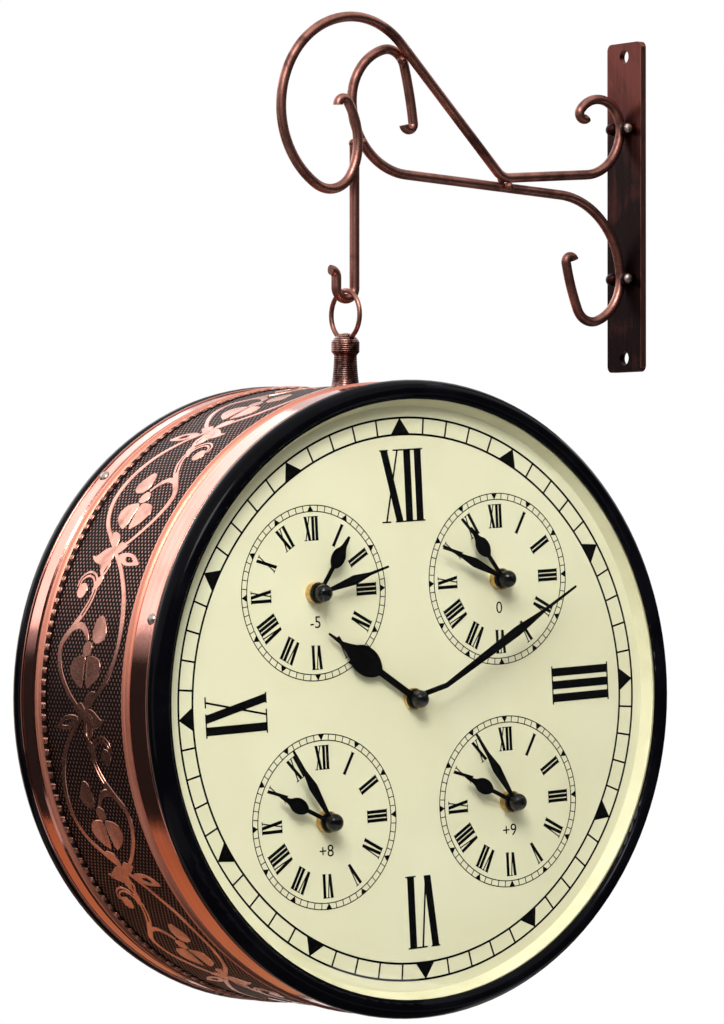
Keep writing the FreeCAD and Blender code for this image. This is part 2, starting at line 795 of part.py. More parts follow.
def rim_screws():
    """Round-headed screw through the rim into the bezel's spigot"""
    head = "Sizes.screw_head_dia / 2"
    rise = "Sizes.screw_head_rise"
    shank = "Sizes.screw_dia / 2"
    gap = "Sizes.fit_gap"
    depth = "(Sizes.rim_wall + Sizes.slip_gap + Sizes.spigot_wall)"
    corners = [
        ("0", f"-{depth}"),
        (shank, f"-{depth}"),
        (shank, gap),
        (head, gap),
        cap_via(head, gap, rise),
        ("0", rise),
    ]
    screw = turned("rim_screw", corners)
    copies = [(screw, place.multiply(UPRIGHT.inverse())) for side in SIDES for place in screw_places(side)]
    repeated("rim_screws", copies)


# Finial that carries the case on the ring

def finial():
    """Turned post: a flared foot, a narrow neck and a ringed head with the cross bore"""
    base = f"({band_radius} + Sizes.fit_gap)"
    wide = "Sizes.finial_dia / 2"
    waist = "Sizes.finial_waist / 2"
    top = f"({base} + Sizes.finial_height)"
    head = f"({top} - Sizes.finial_head)"
    dome = f"({top} - {wide} / 2)"
    shank = "Sizes.shank_dia / 2"
    tail = f"({drum_radius} - Sizes.drum_wall - Sizes.washer_thick - Sizes.nut_thick - Sizes.shank_dia / 4)"
    neck = f"({head} - Sizes.hand_thick)"
    corners = [
        ("0", tail),
        (shank, tail),
        (shank, base),
        (wide, base),
        ("via", f"({waist} + ({wide} - {waist}) * 0.3)", f"(({base} + {neck}) / 2)"),
        (waist, neck),
        (wide, f"{head} + Sizes.hand_gap"),
        (wide, f"{dome} - Sizes.hand_gap"),
        cap_via(wide, f"{dome} - Sizes.hand_gap", top),
        ("0", top),
    ]
    body = turned("finial_blank", corners)
    body.Placement = UPRIGHT.inverse()
    eye = Vector(0, 0, ring_centre - case_axis)
    bore = ring_torus("finial_bore", "Sizes.ring_wire / 2 + Sizes.bore_gap", eye)
    keep(cut("finial", body, bore), "finial", CASE)


def finial_fixings():
    """Washer and nut on the finial's shank inside the drum"""
    bore = "Sizes.shank_dia / 2 + Sizes.fit_gap"
    wide = "Sizes.washer_dia / 2"
    seat = f"(sqrt(({drum_radius} - Sizes.drum_wall) ^ 2 - ({wide}) ^ 2) - Sizes.fit_gap)"
    ledge = f"({seat} - Sizes.washer_thick)"
    base = f"({ledge} - Sizes.nut_thick)"
    washer = turned("finial_washer", [(bore, ledge), (wide, ledge), (wide, seat), (bore, seat)])
    keep(washer, "finial_washer", CASE.multiply(UPRIGHT.inverse()))
    block = doc.addObject("Part::Prism", "finial_nut_block")
    block.Polygon = 6
    block.setExpression("Circumradius", "Sizes.nut_dia / sqrt(3)")
    block.setExpression("Height", "Sizes.nut_thick")
    block.setExpression("Placement.Base.z", base)
    thread = cylinder("finial_nut_bore", bore, f"2 * {drum_radius}", Placement())
    keep(cut("finial_nut", block, thread), "finial_nut", CASE)


# Movements behind the dials

behind_dial = "(Sizes.dial_thick + Sizes.gasket_thick)"
movement_half = "Sizes.movement_side / 2"
movement_floor = f"({behind_dial} + Sizes.movement_wall)"
movement_back = f"({behind_dial} + Sizes.movement_depth)"
cover_back = f"({movement_back} + Sizes.movement_wall)"
cell_shelf = f"({movement_half} - Sizes.movement_wall - Sizes.cell_gap - Sizes.cell_dia / 2)"
nut_heights = {"main": "Sizes.main_nut_height", "sub": sub_nut_height}


def kind_of(clock):
    return "main" if clock == "main" else "sub"


def along_depth(start):
    """Place that points a cylinder away from the viewer of the front dial"""
    return Placement(Vector(0, num(start), 0), UPRIGHT.Rotation)


def movement_case(kind):
    """Square case open at the back, with the threaded bush that goes through the dial"""
    inner = f"({movement_half} - Sizes.movement_wall)"
    shell = box(f"{kind}_shell", "Sizes.movement_side", "Sizes.movement_depth", "Sizes.movement_side",
                (f"-{movement_half}", behind_dial, f"-{movement_half}"))
    hollow = box(f"{kind}_hollow", f"2 * {inner}", "Sizes.movement_depth", f"2 * {inner}",
                 (f"-{inner}", movement_floor, f"-{inner}"))
    tray = cut(f"{kind}_tray", shell, hollow)
    tip = f"(-{nut_heights[kind]} + Sizes.bush_short)"
    bush = cylinder(f"{kind}_bush", "Sizes.bush_dia / 2", f"{movement_floor} - {tip}", along_depth(tip))
    bore = cylinder(f"{kind}_bush_bore", "Sizes.pipe_dia / 2 + Sizes.run_gap", "Sizes.movement_side",
                    along_depth(f"-{movement_half}"))
    return cut(f"{kind}_movement_case", fused(f"{kind}_tray_and_bush", [tray, bush]), bore)


def washer_shape(name, inner, outer, low, high):
    """Flat ring about the depth axis"""
    return turned(name, [(inner, low), (outer, low), (outer, high), (inner, high)])


def movements():
    cases = {kind: movement_case(kind) for kind in nut_heights}
    thread = "Sizes.bush_dia / 2 + Sizes.fit_gap"
    nuts = {}
    for kind, height in nut_heights.items():
        nuts[kind] = washer_shape(f"{kind}_nut", thread, "Sizes.nut_width / 2", f"-{height}", "0")
    gasket = washer_shape("gasket", thread, "Sizes.gasket_dia / 2", "Sizes.dial_thick", behind_dial)
    plate = box("cover_plate", "Sizes.movement_side", "Sizes.movement_wall", "Sizes.movement_side",
                (f"-{movement_half}", movement_back, f"-{movement_half}"))
    hole = cylinder("cover_hole", "Sizes.arbor_dia / 2 + Sizes.hole_gap", "Sizes.movement_side",
                    along_depth("0"))
    cover = cut("movement_cover", plate, hole)
    cell_half = "Sizes.cell_length / 2"
    cell = turned("cell", [("0", f"-{cell_half}"), ("Sizes.cell_dia / 2", f"-{cell_half}"),
                           ("Sizes.cell_dia / 2", f"{cell_half} - Sizes.cell_nub"),
                           ("Sizes.cell_nub_dia / 2", f"{cell_half} - Sizes.cell_nub"),
                           ("Sizes.cell_nub_dia / 2", cell_half), ("0", cell_half)])
    cell_depth = num(f"{movement_floor} + Sizes.cell_gap + Sizes.cell_dia / 2")
    in_tray = Placement(Vector(0, cell_depth, -num(cell_shelf)), Rotation(Vector(0, 0, 1), 90))
    board = box("circuit_board", "Sizes.board_length", "Sizes.board_thick", "Sizes.board_width",
                ("-Sizes.board_length / 2", movement_floor,
                 f"{movement_half} - Sizes.movement_wall - Sizes.hand_gap - Sizes.board_width"))
    # turned by an eighth, five square movements fit behind one dial
    eighth = 45.0
    places = {(side, clock): clock_place(side, clock, eighth) for side in SIDES for clock in CLOCKS}
    repeated("movement_cases", [(cases[kind_of(key[1])], place) for key, place in places.items()])
    repeated("movement_covers", [(cover, place) for place in places.values()])
    repeated("cells", [(cell, place.multiply(in_tray)) for place in places.values()])
    repeated("circuit_boards", [(board, place) for place in places.values()])
    repeated("gaskets", [(gasket, place) for place in places.values()])
    repeated("bush_nuts", [(nuts[kind_of(key[1])], place) for key, place in places.items()])


# Hands, each pointing to twelve before it is turned to its time

def hub(body, name, level, bore):
    """Round eye of a hand"""
    sketch = new_sketch(body, name + "_eye", "XZ_Plane", level)
    add_circle(sketch, ("0", "0"), "Sizes.hub_dia / 2")
    add_circle(sketch, ("0", "0"), bore)
    add_pad(body, sketch, "Sizes.hand_thick")


def mirrored(right):
    """Closed outline from its right-hand half, which starts and ends off the middle line"""
    left = []
    for corner in reversed(right):
        if corner[0] == "via":
            left.append(("via", f"-({corner[1]})", corner[2]))
        else:
            left.append((f"-({corner[0]})", corner[1]))
    return right + left


def hour_hand(label, kind, place):
    """Spade hand on its collet, with the pipe and wheel that drive it"""
    size = f"Sizes.{kind}_hour"
    level = main_hour_level if kind == "main" else sub_hour_level
    body = doc.addObject("PartDesign::Body", label + "_blade")
    bore = "Sizes.pipe_dia / 2 + Sizes.weld_gap"
    foot = "Sizes.hub_dia / 2 - Sizes.hand_thick"
    spade = f"{size}_spade"
    hub(body, label, level, bore)
    sketch = new_sketch(body, label + "_spade", "XZ_Plane", level)
    add_outline(sketch, mirrored([
        (f"{size}_stem / 2", foot),
        (f"{size}_stem / 2", f"{size}_neck"),
        ("via", f"{spade} * 0.4", f"{size}_neck + {spade} * 0.32"),
        (f"{spade} / 2", f"{size}_neck + {spade} * 0.8"),
        ("via", f"{spade} * 0.45", f"{size}_neck + {spade} * 1.1"),
        (f"{spade} * 0.29", f"{size}_neck + {spade} * 1.36"),
        ("via", f"{spade} * 0.17", f"{size}_neck + {spade} * 1.66"),
        ("Sizes.tip_width", f"{size}_neck + {spade} * 1.96"),
        ("Sizes.tip_width / 2", f"{size}_length"),
    ]))
    add_pad(body, sketch, "Sizes.hand_thick")
    wheel_near = f"({movement_floor} + Sizes.pass_gap)"
    wheel_far = f"({wheel_near} + Sizes.wheel_thick)"
    end = f"(-({level}) - Sizes.hand_thick)"
    inner = "Sizes.arbor_dia / 2 + Sizes.run_gap"
    outer = "Sizes.pipe_dia / 2"
    pipe = turned(label + "_pipe", [(inner, end), (outer, end), (outer, wheel_near),
                                    ("Sizes.wheel_dia / 2", wheel_near), ("Sizes.wheel_dia / 2", wheel_far),
                                    (inner, wheel_far)])
    keep(bundle(label, [body, pipe]), label, place)


def minute_hand(label, kind, place):
    """Lozenge hand; the main one is cranked up to pass over the small clocks"""
    size = f"Sizes.{kind}_minute"
    level = main_minute_level if kind == "main" else sub_minute_level
    blade = blade_level if kind == "main" else level
    foot = "Sizes.hub_dia / 2 - Sizes.hand_thick"
    start = "(Sizes.crank_start + Sizes.crank_run)" if kind == "main" else foot
    body = doc.addObject("PartDesign::Body", label)
    hub(body, label, level, "Sizes.arbor_dia / 2 + Sizes.weld_gap")
    if kind == "main":
        crank = new_sketch(body, label + "_crank", "YZ_Plane")
        low = f"(-({level}))"
        low_top = f"(-({level}) - Sizes.hand_thick)"
        high = f"(-({blade}))"
        high_top = f"(-({blade}) - Sizes.hand_thick)"
        add_outline(crank, [
            (low, foot),
            (low, "Sizes.crank_start"),
            (high, start),
            (high, f"{start} + Sizes.crank_start"),
            (high_top, f"{start} + Sizes.crank_start"),
            (high_top, f"{start} - Sizes.hand_thick"),
            (low_top, "Sizes.crank_start - Sizes.hand_thick"),
            (low_top, foot),
        ])
        add_pad(body, crank, f"{size}_stem", both_ways=True)
    sketch = new_sketch(body, label + "_lozenge", "XZ_Plane", blade)
    add_outline(sketch, mirrored([
        (f"{size}_stem / 2", start),
        (f"{size}_belly / 2", f"{size}_waist"),
        ("Sizes.tip_width * 0.8", f"{size}_waist + ({size}_length - {size}_waist) * 0.45"),
        ("Sizes.tip_width / 2", f"{size}_length"),
    ]))
    add_pad(body, sketch, "Sizes.hand_thick")
    keep(body, label, place)


def minute_arbor(label, kind, place):
    """Arbor with its setting knob behind the movement, and the cap nut that holds the minute hand"""
    level = main_minute_level if kind == "main" else sub_minute_level
    seat = f"(-({level}) - Sizes.hand_thick - Sizes.weld_gap)"
    middle = f"({seat} - Sizes.cap_seat)"
    top = f"({middle} - Sizes.cap_dia / 2)"
    tip = f"({middle} - Sizes.cap_dia / 5)"
    shaft = "Sizes.arbor_dia / 2"
    knob_near = f"({cover_back} + Sizes.pass_gap)"
    knob_far = f"({knob_near} + Sizes.knob_thick)"
    arbor = turned(label + "_shaft", [("0", tip), (shaft, tip), (shaft, knob_near),
                                      ("Sizes.knob_dia / 2", knob_near), ("Sizes.knob_dia / 2", knob_far),
                                      ("0", knob_far)])
    bore = f"({shaft} + Sizes.weld_gap)"
    foot = f"sqrt((Sizes.cap_dia / 2) ^ 2 - Sizes.cap_seat ^ 2)"
    cap = turned(label + "_cap", [(bore, seat), (foot, seat), ("via", "Sizes.cap_dia / 2", middle),
                                  ("0", top), ("0", f"({tip} - Sizes.weld_gap)"),
                                  (bore, f"({tip} - Sizes.weld_gap)")])
    keep(bundle(label, [arbor, cap]), label, place)


def hands():
    for side in SIDES:
        for clock, (hours, minutes) in CLOCKS.items():
            kind = kind_of(clock)
            name = f"{side}_{clock}"
            hour_place = clock_place(side, clock, 30.0 * hours + minutes / 2)
            minute_place = clock_place(side, clock, 6.0 * minutes)
            hour_hand(f"{name}_hour_hand", kind, hour_place)
            minute_hand(f"{name}_minute_hand", kind, minute_place)
            minute_arbor(f"{name}_minute_arbor", kind, minute_place)


wall_plate()
bar_wires = bracket_bars()
weld_beads(bar_wires)
hanging_ring()
drum_and_band()
bead_trim()
rims()
bezels()
glasses()
spacer_rings()
dials()
rim_screws()
finial()
finial_fixings()
movements()
hands()
doc.recompute()

# Every object and sub-part is sound before anything is written
for item in doc.Objects:
    if "Invalid" in item.State or "Error" in item.State:
        raise RuntimeError(f"{item.Label} failed: {item.State}")
for node in NODES:
    if node.Shape.isNull() or not node.Shape.isValid() or not node.Shape.Solids:
        raise RuntimeError(f"{node.Label} has no sound solid")

os.makedirs("parts", exist_ok=True)
for node in NODES:
    node.Shape.exportStep(f"parts/{node.Label}.step")
print(len(NODES), "sub-parts written")
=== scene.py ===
import math
from collections import namedtuple

import bmesh
import bpy
from mathutils import Matrix, Vector


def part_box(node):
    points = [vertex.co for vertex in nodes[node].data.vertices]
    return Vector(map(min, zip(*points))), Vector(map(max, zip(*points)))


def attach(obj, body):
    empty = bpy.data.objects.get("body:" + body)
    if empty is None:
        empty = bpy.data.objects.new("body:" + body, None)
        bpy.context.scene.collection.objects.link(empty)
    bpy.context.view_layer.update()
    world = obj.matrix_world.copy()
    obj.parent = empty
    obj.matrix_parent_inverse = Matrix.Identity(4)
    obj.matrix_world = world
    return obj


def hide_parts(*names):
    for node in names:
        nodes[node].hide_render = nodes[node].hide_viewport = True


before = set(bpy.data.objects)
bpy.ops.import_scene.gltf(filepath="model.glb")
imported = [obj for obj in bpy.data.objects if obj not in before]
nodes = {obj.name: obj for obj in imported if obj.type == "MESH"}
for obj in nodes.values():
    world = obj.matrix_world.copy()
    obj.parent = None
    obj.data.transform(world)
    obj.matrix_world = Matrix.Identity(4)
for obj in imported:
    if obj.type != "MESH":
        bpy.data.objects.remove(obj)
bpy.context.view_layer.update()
MM = 0.001

# Places read from the frame
drum_low, drum_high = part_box("drum_shell")
CASE_AXIS = (drum_low + drum_high) / 2
band_low, band_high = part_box("embossed_band")
BAND_RADIUS = (band_high.x - band_low.x) / 2
DIAL_DEPTH = -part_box("front_dial")[0].y

# Slight turn of each dial about the drum's axis, and the turn of each side about the upright
DIAL_ANGLE = math.radians(3.35)
SIDES = {"front": 0.0, "rear": math.pi}

# Middle of a noise, where nearly all of its values lie, and how far grain changes the roughness of metal
GRAIN_SPAN = (0.3, 0.7)
GRAIN_SHEEN = (-0.06, 0.06)

# Colour sockets of the mix node, which has several sockets of each name
MIX_FIRST, MIX_SECOND, MIX_RESULT = 6, 7, 2


# Node helpers

def add(tree, kind, inputs=None, **fields):
    """New node with its fields set and its inputs linked or filled"""
    item = tree.nodes.new(kind)
    for key, value in fields.items():
        setattr(item, key, value)
    for key, value in (inputs or {}).items():
        if isinstance(value, bpy.types.NodeSocket):
            tree.links.new(value, item.inputs[key])
        else:
            item.inputs[key].default_value = value
    return item


def mixed(tree, share, first, second):
    """Colour between two, by a share"""
    first, second = ((*colour, 1.0) if isinstance(colour, tuple) else colour for colour in (first, second))
    inputs = {"Factor": share, MIX_FIRST: first, MIX_SECOND: second}
    return add(tree, "ShaderNodeMix", inputs, data_type="RGBA").outputs[MIX_RESULT]


def ranged(tree, value, low, high, start=0.0, end=1.0, smooth=False):
    """Value that goes from low to high while another goes from start to end"""
    inputs = {"Value": value, "From Min": start, "From Max": end, "To Min": low, "To Max": high}
    item = add(tree, "ShaderNodeMapRange", inputs, interpolation_type="SMOOTHSTEP" if smooth else "LINEAR")
    return item.outputs["Result"]


def calc(tree, operation, first, second=0.0, clamp=False):
    """Result of one operation on one or two values"""
    item = add(tree, "ShaderNodeMath", {0: first, 1: second}, operation=operation, use_clamp=clamp)
    return item.outputs["Value"]


def split(tree, vector):
    """X, Y and Z of a vector"""
    return add(tree, "ShaderNodeSeparateXYZ", {"Vector": vector}).outputs


def group_tree(name, kind, inputs, outputs):
    """Empty node group, sockets given as label: kind; gives the tree, its input node and its output node"""
    tree = bpy.data.node_groups.new(name, kind)
    for sockets, side in ((inputs, "INPUT"), (outputs, "OUTPUT")):
        for label, socket in sockets.items():
            tree.interface.new_socket(name=label, in_out=side, socket_type=f"NodeSocket{socket}")
    return tree, tree.nodes.new("NodeGroupInput"), tree.nodes.new("NodeGroupOutput")


def wear_group():
    """Soft patches of tarnish and a fine grain, from a position"""
    inputs = {"Position": "Vector", "Patch Scale": "Float", "Low": "Float", "High": "Float",
              "Grain Scale": "Float"}
    outputs = {"Patches": "Float", "Grain": "Float"}
    tree, source, sink = group_tree("tarnish", "ShaderNodeTree", inputs, outputs)
    given = source.outputs
    clouds = add(tree, "ShaderNodeTexNoise", {"Vector": given["Position"], "Scale": given["Patch Scale"],
                                              "Detail": 7.0, "Roughness": 0.62, "Distortion": 0.6})
    grain = add(tree, "ShaderNodeTexNoise", {"Vector": given["Position"], "Scale": given["Grain Scale"],
                                             "Detail": 4.0, "Roughness": 0.7})
    patches = ranged(tree, clouds.outputs["Fac"], 0.0, 1.0, given["Low"], given["High"], smooth=True)
    tree.links.new(patches, sink.inputs["Patches"])
    tree.links.new(grain.outputs["Fac"], sink.inputs["Grain"])
    return tree


def round_group():
    """Position unrolled about an axis along Y: turn in radians, depth, and lines left by turning"""
    line_stretch = 0.004
    inputs = {"Position": "Vector", "Axis": "Vector", "Line Scale": "Float"}
    outputs = {"Turn": "Float", "Depth": "Float", "Lines": "Float"}
    tree, source, sink = group_tree("unrolled", "ShaderNodeTree", inputs, outputs)
    local = add(tree, "ShaderNodeVectorMath", {0: source.outputs["Position"], 1: source.outputs["Axis"]},
                operation="SUBTRACT")
    parts = split(tree, local.outputs["Vector"])
    turn = calc(tree, "ARCTAN2", parts["X"], parts["Z"])
    flat = add(tree, "ShaderNodeCombineXYZ", {"X": parts["X"], "Z": parts["Z"]})
    radius = add(tree, "ShaderNodeVectorMath", {0: flat.outputs["Vector"]}, operation="LENGTH")
    swept = calc(tree, "MULTIPLY", turn, line_stretch)
    rolled = add(tree, "ShaderNodeCombineXYZ", {"X": radius.outputs["Value"], "Y": parts["Y"], "Z": swept})
    lines = add(tree, "ShaderNodeTexNoise", {"Vector": rolled.outputs["Vector"], "Detail": 3.0,
                                             "Scale": source.outputs["Line Scale"], "Roughness": 0.65})
    for label, socket in zip(outputs, (turn, parts["Y"], lines.outputs["Fac"])):
        tree.links.new(socket, sink.inputs[label])
    return tree


TARNISH = wear_group()
UNROLLED = round_group()
Look = namedtuple("Look", "material tree shader spot sink")


def new_look(name, **sockets):
    """Material with one shader; plain values go straight on its sockets"""
    material = bpy.data.materials.new(name)
    material.use_nodes = True
    tree = material.node_tree
    tree.nodes.clear()
    shader = add(tree, "ShaderNodeBsdfPrincipled")
    for key, value in sockets.items():
        shader.inputs[key.replace("_", " ").title().replace("Ior", "IOR")].default_value = value
    sink = add(tree, "ShaderNodeOutputMaterial", {"Surface": shader.outputs["BSDF"]})
    spot = add(tree, "ShaderNodeTexCoord").outputs["Object"]
    return Look(material, tree, shader, spot, sink)


def worn(look, patch, low, high, grain, spot=None):
    """Tarnish patches between two limits of their noise, and grain; patch and grain are scales"""
    spot = look.spot if spot is None else spot
    inputs = {"Position": spot, "Patch Scale": patch, "Low": low, "High": high, "Grain Scale": grain}
    item = add(look.tree, "ShaderNodeGroup", inputs, node_tree=TARNISH)
    return item.outputs["Patches"], item.outputs["Grain"]


def unrolled(look, lines):
    """Position about the drum's axis, with turning lines at a scale"""
    inputs = {"Position": look.spot, "Axis": CASE_AXIS, "Line Scale": lines}
    return add(look.tree, "ShaderNodeGroup", inputs, node_tree=UNROLLED).outputs


def dressed(look, colour, rough, height, depth, strength):
    """Material with its colour, roughness and fine relief linked"""
    tree, shader = look.tree, look.shader
    tree.links.new(colour, shader.inputs["Base Color"])
    tree.links.new(rough, shader.inputs["Roughness"])
    relief = add(tree, "ShaderNodeBump", {"Height": height, "Distance": depth, "Strength": strength})
    tree.links.new(relief.outputs["Normal"], shader.inputs["Normal"])
    return look.material


# Finishes

def tarnished(name, bright, dark, patch, grain, rough):
    """Metal with darker patches, rougher where it is dark; patch is a scale and two limits"""
    look = new_look(name, metallic=1.0)
    tree = look.tree
    patches, fine = worn(look, *patch, grain)
    uneven = calc(tree, "ADD", ranged(tree, patches, *rough), ranged(tree, fine, *GRAIN_SHEEN, *GRAIN_SPAN))
    return dressed(look, mixed(tree, patches, bright, dark), uneven, fine, depth=0.08 * MM, strength=0.6)


def coated(name, colour, second, patch, grain, rough, depth=0.04 * MM, **sockets):
    """Paint, plastic, rubber or print with a slightly uneven colour and sheen"""
    look = new_look(name, **sockets)
    tree = look.tree
    patches, fine = worn(look, *patch, grain)
    uneven = ranged(tree, fine, *rough, *GRAIN_SPAN)
    return dressed(look, mixed(tree, patches, colour, second), uneven, fine, depth, strength=0.5)


def rolled_rims():
    """Rims: glossy, brushed round the drum, with a rougher roll beside the band that catches more light, its
    brighter colour partly rubbed copper and partly a painted highlight
    """
    bright, dark, rubbed_and_highlight = (0.64, 0.285, 0.232), (0.44, 0.17, 0.125), (0.8, 0.31, 0.215)
    gloss, satin_rough = (0.09, 0.15), 0.36
    streak_span = (-0.25, 0.35)
    front_edge = band_low.y - CASE_AXIS.y
    rear_edge = max(band_high.y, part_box("bead_trim")[1].y) - CASE_AXIS.y
    front_fade = (front_edge - 7.5 * MM, front_edge - 5 * MM)
    rear_fade = (rear_edge + 3 * MM, rear_edge + 4.5 * MM)
    look = new_look("rim_copper", metallic=1.0)
    tree = look.tree
    patches, fine = worn(look, patch=14.0, low=0.42, high=0.8, grain=600.0)
    turned = unrolled(look, lines=420.0)
    streak = ranged(tree, turned["Lines"], *streak_span, *GRAIN_SPAN)
    share = calc(tree, "ADD", patches, streak, clamp=True)
    roll = calc(tree, "MULTIPLY", ranged(tree, turned["Depth"], 0.0, 1.0, *front_fade),
                ranged(tree, turned["Depth"], 1.0, 0.0, *rear_fade))
    # The roll's brighter colour is partly rubbed copper and partly a painted highlight
    copper = mixed(tree, roll, mixed(tree, share, bright, dark), rubbed_and_highlight)
    uneven = calc(tree, "ADD", ranged(tree, share, *gloss), ranged(tree, fine, *GRAIN_SHEEN, *GRAIN_SPAN))
    uneven = calc(tree, "ADD", uneven, calc(tree, "MULTIPLY", roll, satin_rough))
    return dressed(look, copper, uneven, turned["Lines"], depth=0.03 * MM, strength=0.6)


def woven_ground():
    """Dark etched ground of the band: a net of small bright dots"""
    bright, dull, ground = (0.42, 0.19, 0.15), (0.2, 0.085, 0.062), (0.007, 0.004, 0.004)
    dots_round, dot_pitch = 250.0, 2.6 * MM
    dot_edge = (0.36, 0.72)
    ground_rough, dot_rough = 0.65, 0.4
    look = new_look("etched_ground", metallic=1.0)
    tree = look.tree
    turned = unrolled(look, lines=400.0)
    patches = worn(look, patch=24.0, low=0.35, high=0.75, grain=1100.0)[0]
    round_wave = calc(tree, "SINE", calc(tree, "MULTIPLY", turned["Turn"], dots_round))
    deep_wave = calc(tree, "SINE", calc(tree, "MULTIPLY", turned["Depth"], 2 * math.pi / dot_pitch))
    dot = ranged(tree, calc(tree, "MULTIPLY", round_wave, deep_wave), 0.0, 1.0, *dot_edge, smooth=True)
    colour = mixed(tree, dot, ground, mixed(tree, patches, bright, dull))
    uneven = ranged(tree, dot, ground_rough, dot_rough)
    return dressed(look, colour, uneven, dot, depth=0.1 * MM, strength=0.6)


def ringed_post():
    """Turned post of the finial, with rings along its height and dirt in the hollows"""
    bright, dark, dirt = (0.72, 0.36, 0.29), (0.06, 0.024, 0.02), (0.03, 0.012, 0.01)
    ring_pitch, rough = 0.85 * MM, (0.2, 0.36)
    look = new_look("turned_post", metallic=1.0)
    tree = look.tree
    height = split(tree, look.spot)["Z"]
    patches, fine = worn(look, patch=70.0, low=0.42, high=0.62, grain=1500.0)
    wave = calc(tree, "SINE", calc(tree, "MULTIPLY", height, 2 * math.pi / ring_pitch))
    ridge = ranged(tree, wave, 0.0, 1.0, -1.0, 1.0)
    colour = mixed(tree, ridge, dirt, mixed(tree, patches, bright, dark))
    uneven = ranged(tree, fine, *rough, *GRAIN_SPAN)
    return dressed(look, colour, uneven, ridge, depth=0.12 * MM, strength=0.6)


def brushed_plate():
    """Wall plate: brushed upright, darker towards its foot, with a painted highlight on its front edge"""
    copper, dark, painted_highlight = (0.18, 0.048, 0.037), (0.014, 0.004, 0.004), (0.36, 0.16, 0.12)
    patch_share, foot_share, edge_share = 0.45, 0.75, 0.8
    brush_share, brush_stretch = (-0.16, 0.2), (1.0, 1.0, 0.08)
    rough = (0.28, 0.46)
    low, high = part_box("wall_plate")
    reach = high.z - low.z
    foot_fade = (high.z - 0.36 * reach, high.z - 0.1 * reach)
    edge_fade = (low.y + 0.1 * MM, low.y + 0.5 * MM)
    look = new_look("plate_copper", metallic=1.0)
    tree = look.tree
    parts = split(tree, look.spot)
    drawn = add(tree, "ShaderNodeVectorMath", {0: look.spot, 1: brush_stretch}, operation="MULTIPLY")
    patches = worn(look, patch=22.0, low=0.36, high=0.62, grain=900.0)[0]
    brushed, fine = worn(look, patch=260.0, low=0.3, high=0.75, grain=1400.0, spot=drawn.outputs["Vector"])
    foot = ranged(tree, parts["Z"], foot_share, 0.0, *foot_fade, smooth=True)
    share = calc(tree, "ADD", calc(tree, "MULTIPLY", patches, patch_share), foot)
    share = calc(tree, "ADD", share, ranged(tree, brushed, *brush_share), clamp=True)
    # Painted highlight on the front edge face
    edge = ranged(tree, parts["Y"], edge_share, 0.0, *edge_fade)
    colour = mixed(tree, edge, mixed(tree, share, copper, dark), painted_highlight)
    uneven = ranged(tree, fine, *rough, *GRAIN_SPAN)
    return dressed(look, colour, uneven, fine, depth=0.08 * MM, strength=0.5)


def weld_drops():
    """Weld drops: dull as the bars, with painted shade by the plate and a painted highlight on the front ones
    there
    """
    copper, dark = (0.34, 0.135, 0.1), (0.12, 0.045, 0.036)
    # Near-black painted shade for the drops by the plate, near-white painted highlight for the front ones
    # there
    painted_shade, painted_highlight = (0.03, 0.01, 0.009), (0.93, 0.76, 0.7)
    rough, polish = (0.3, 0.5), 0.12
    patch_share = (1.0, 0.25)
    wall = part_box("wall_plate")[0].x
    plate_fade = (wall - 12 * MM, wall - 8 * MM)
    front_fade = (-7.8 * MM, -6.8 * MM)
    look = new_look("weld_metal", metallic=1.0)
    tree = look.tree
    parts = split(tree, look.spot)
    patches, fine = worn(look, patch=220.0, low=0.4, high=0.7, grain=2400.0)
    by_plate = ranged(tree, parts["X"], 0.0, 1.0, *plate_fade)
    in_front = ranged(tree, parts["Y"], 1.0, 0.0, *front_fade)
    # Mask of the painted highlight: the front drops by the plate
    highlight_spot = calc(tree, "MULTIPLY", by_plate, in_front)
    highlight_spot = calc(tree, "MULTIPLY", highlight_spot, ranged(tree, patches, *patch_share))
    # Painted shade on the drops by the plate
    dull = mixed(tree, by_plate, mixed(tree, patches, copper, dark), painted_shade)
    smoother = calc(tree, "MULTIPLY", highlight_spot, polish)
    uneven = calc(tree, "SUBTRACT", ranged(tree, fine, *rough, *GRAIN_SPAN), smoother)
    return dressed(look, mixed(tree, highlight_spot, dull, painted_highlight), uneven, fine, depth=0.3 * MM, strength=0.6)


def clear_glass():
    """Glass that lets the lamps' light through to the dial"""
    smear = (0.0, 0.02)
    look = new_look("dial_glass", base_color=(0.985, 0.99, 0.985, 1.0), transmission_weight=1.0, ior=1.45,
                    metallic=0.0, specular_ior_level=0.1)
    tree, shader = look.tree, look.shader
    patches = worn(look, patch=18.0, low=0.3, high=0.8, grain=300.0)[0]
    tree.links.new(ranged(tree, patches, *smear), shader.inputs["Roughness"])
    through = add(tree, "ShaderNodeBsdfTransparent")
    light = add(tree, "ShaderNodeLightPath")
    let = add(tree, "ShaderNodeMixShader", {0: light.outputs["Is Shadow Ray"], 1: shader.outputs["BSDF"],
                                            2: through.outputs["BSDF"]})
    tree.links.new(let.outputs["Shader"], look.sink.inputs["Surface"])
    return look.material


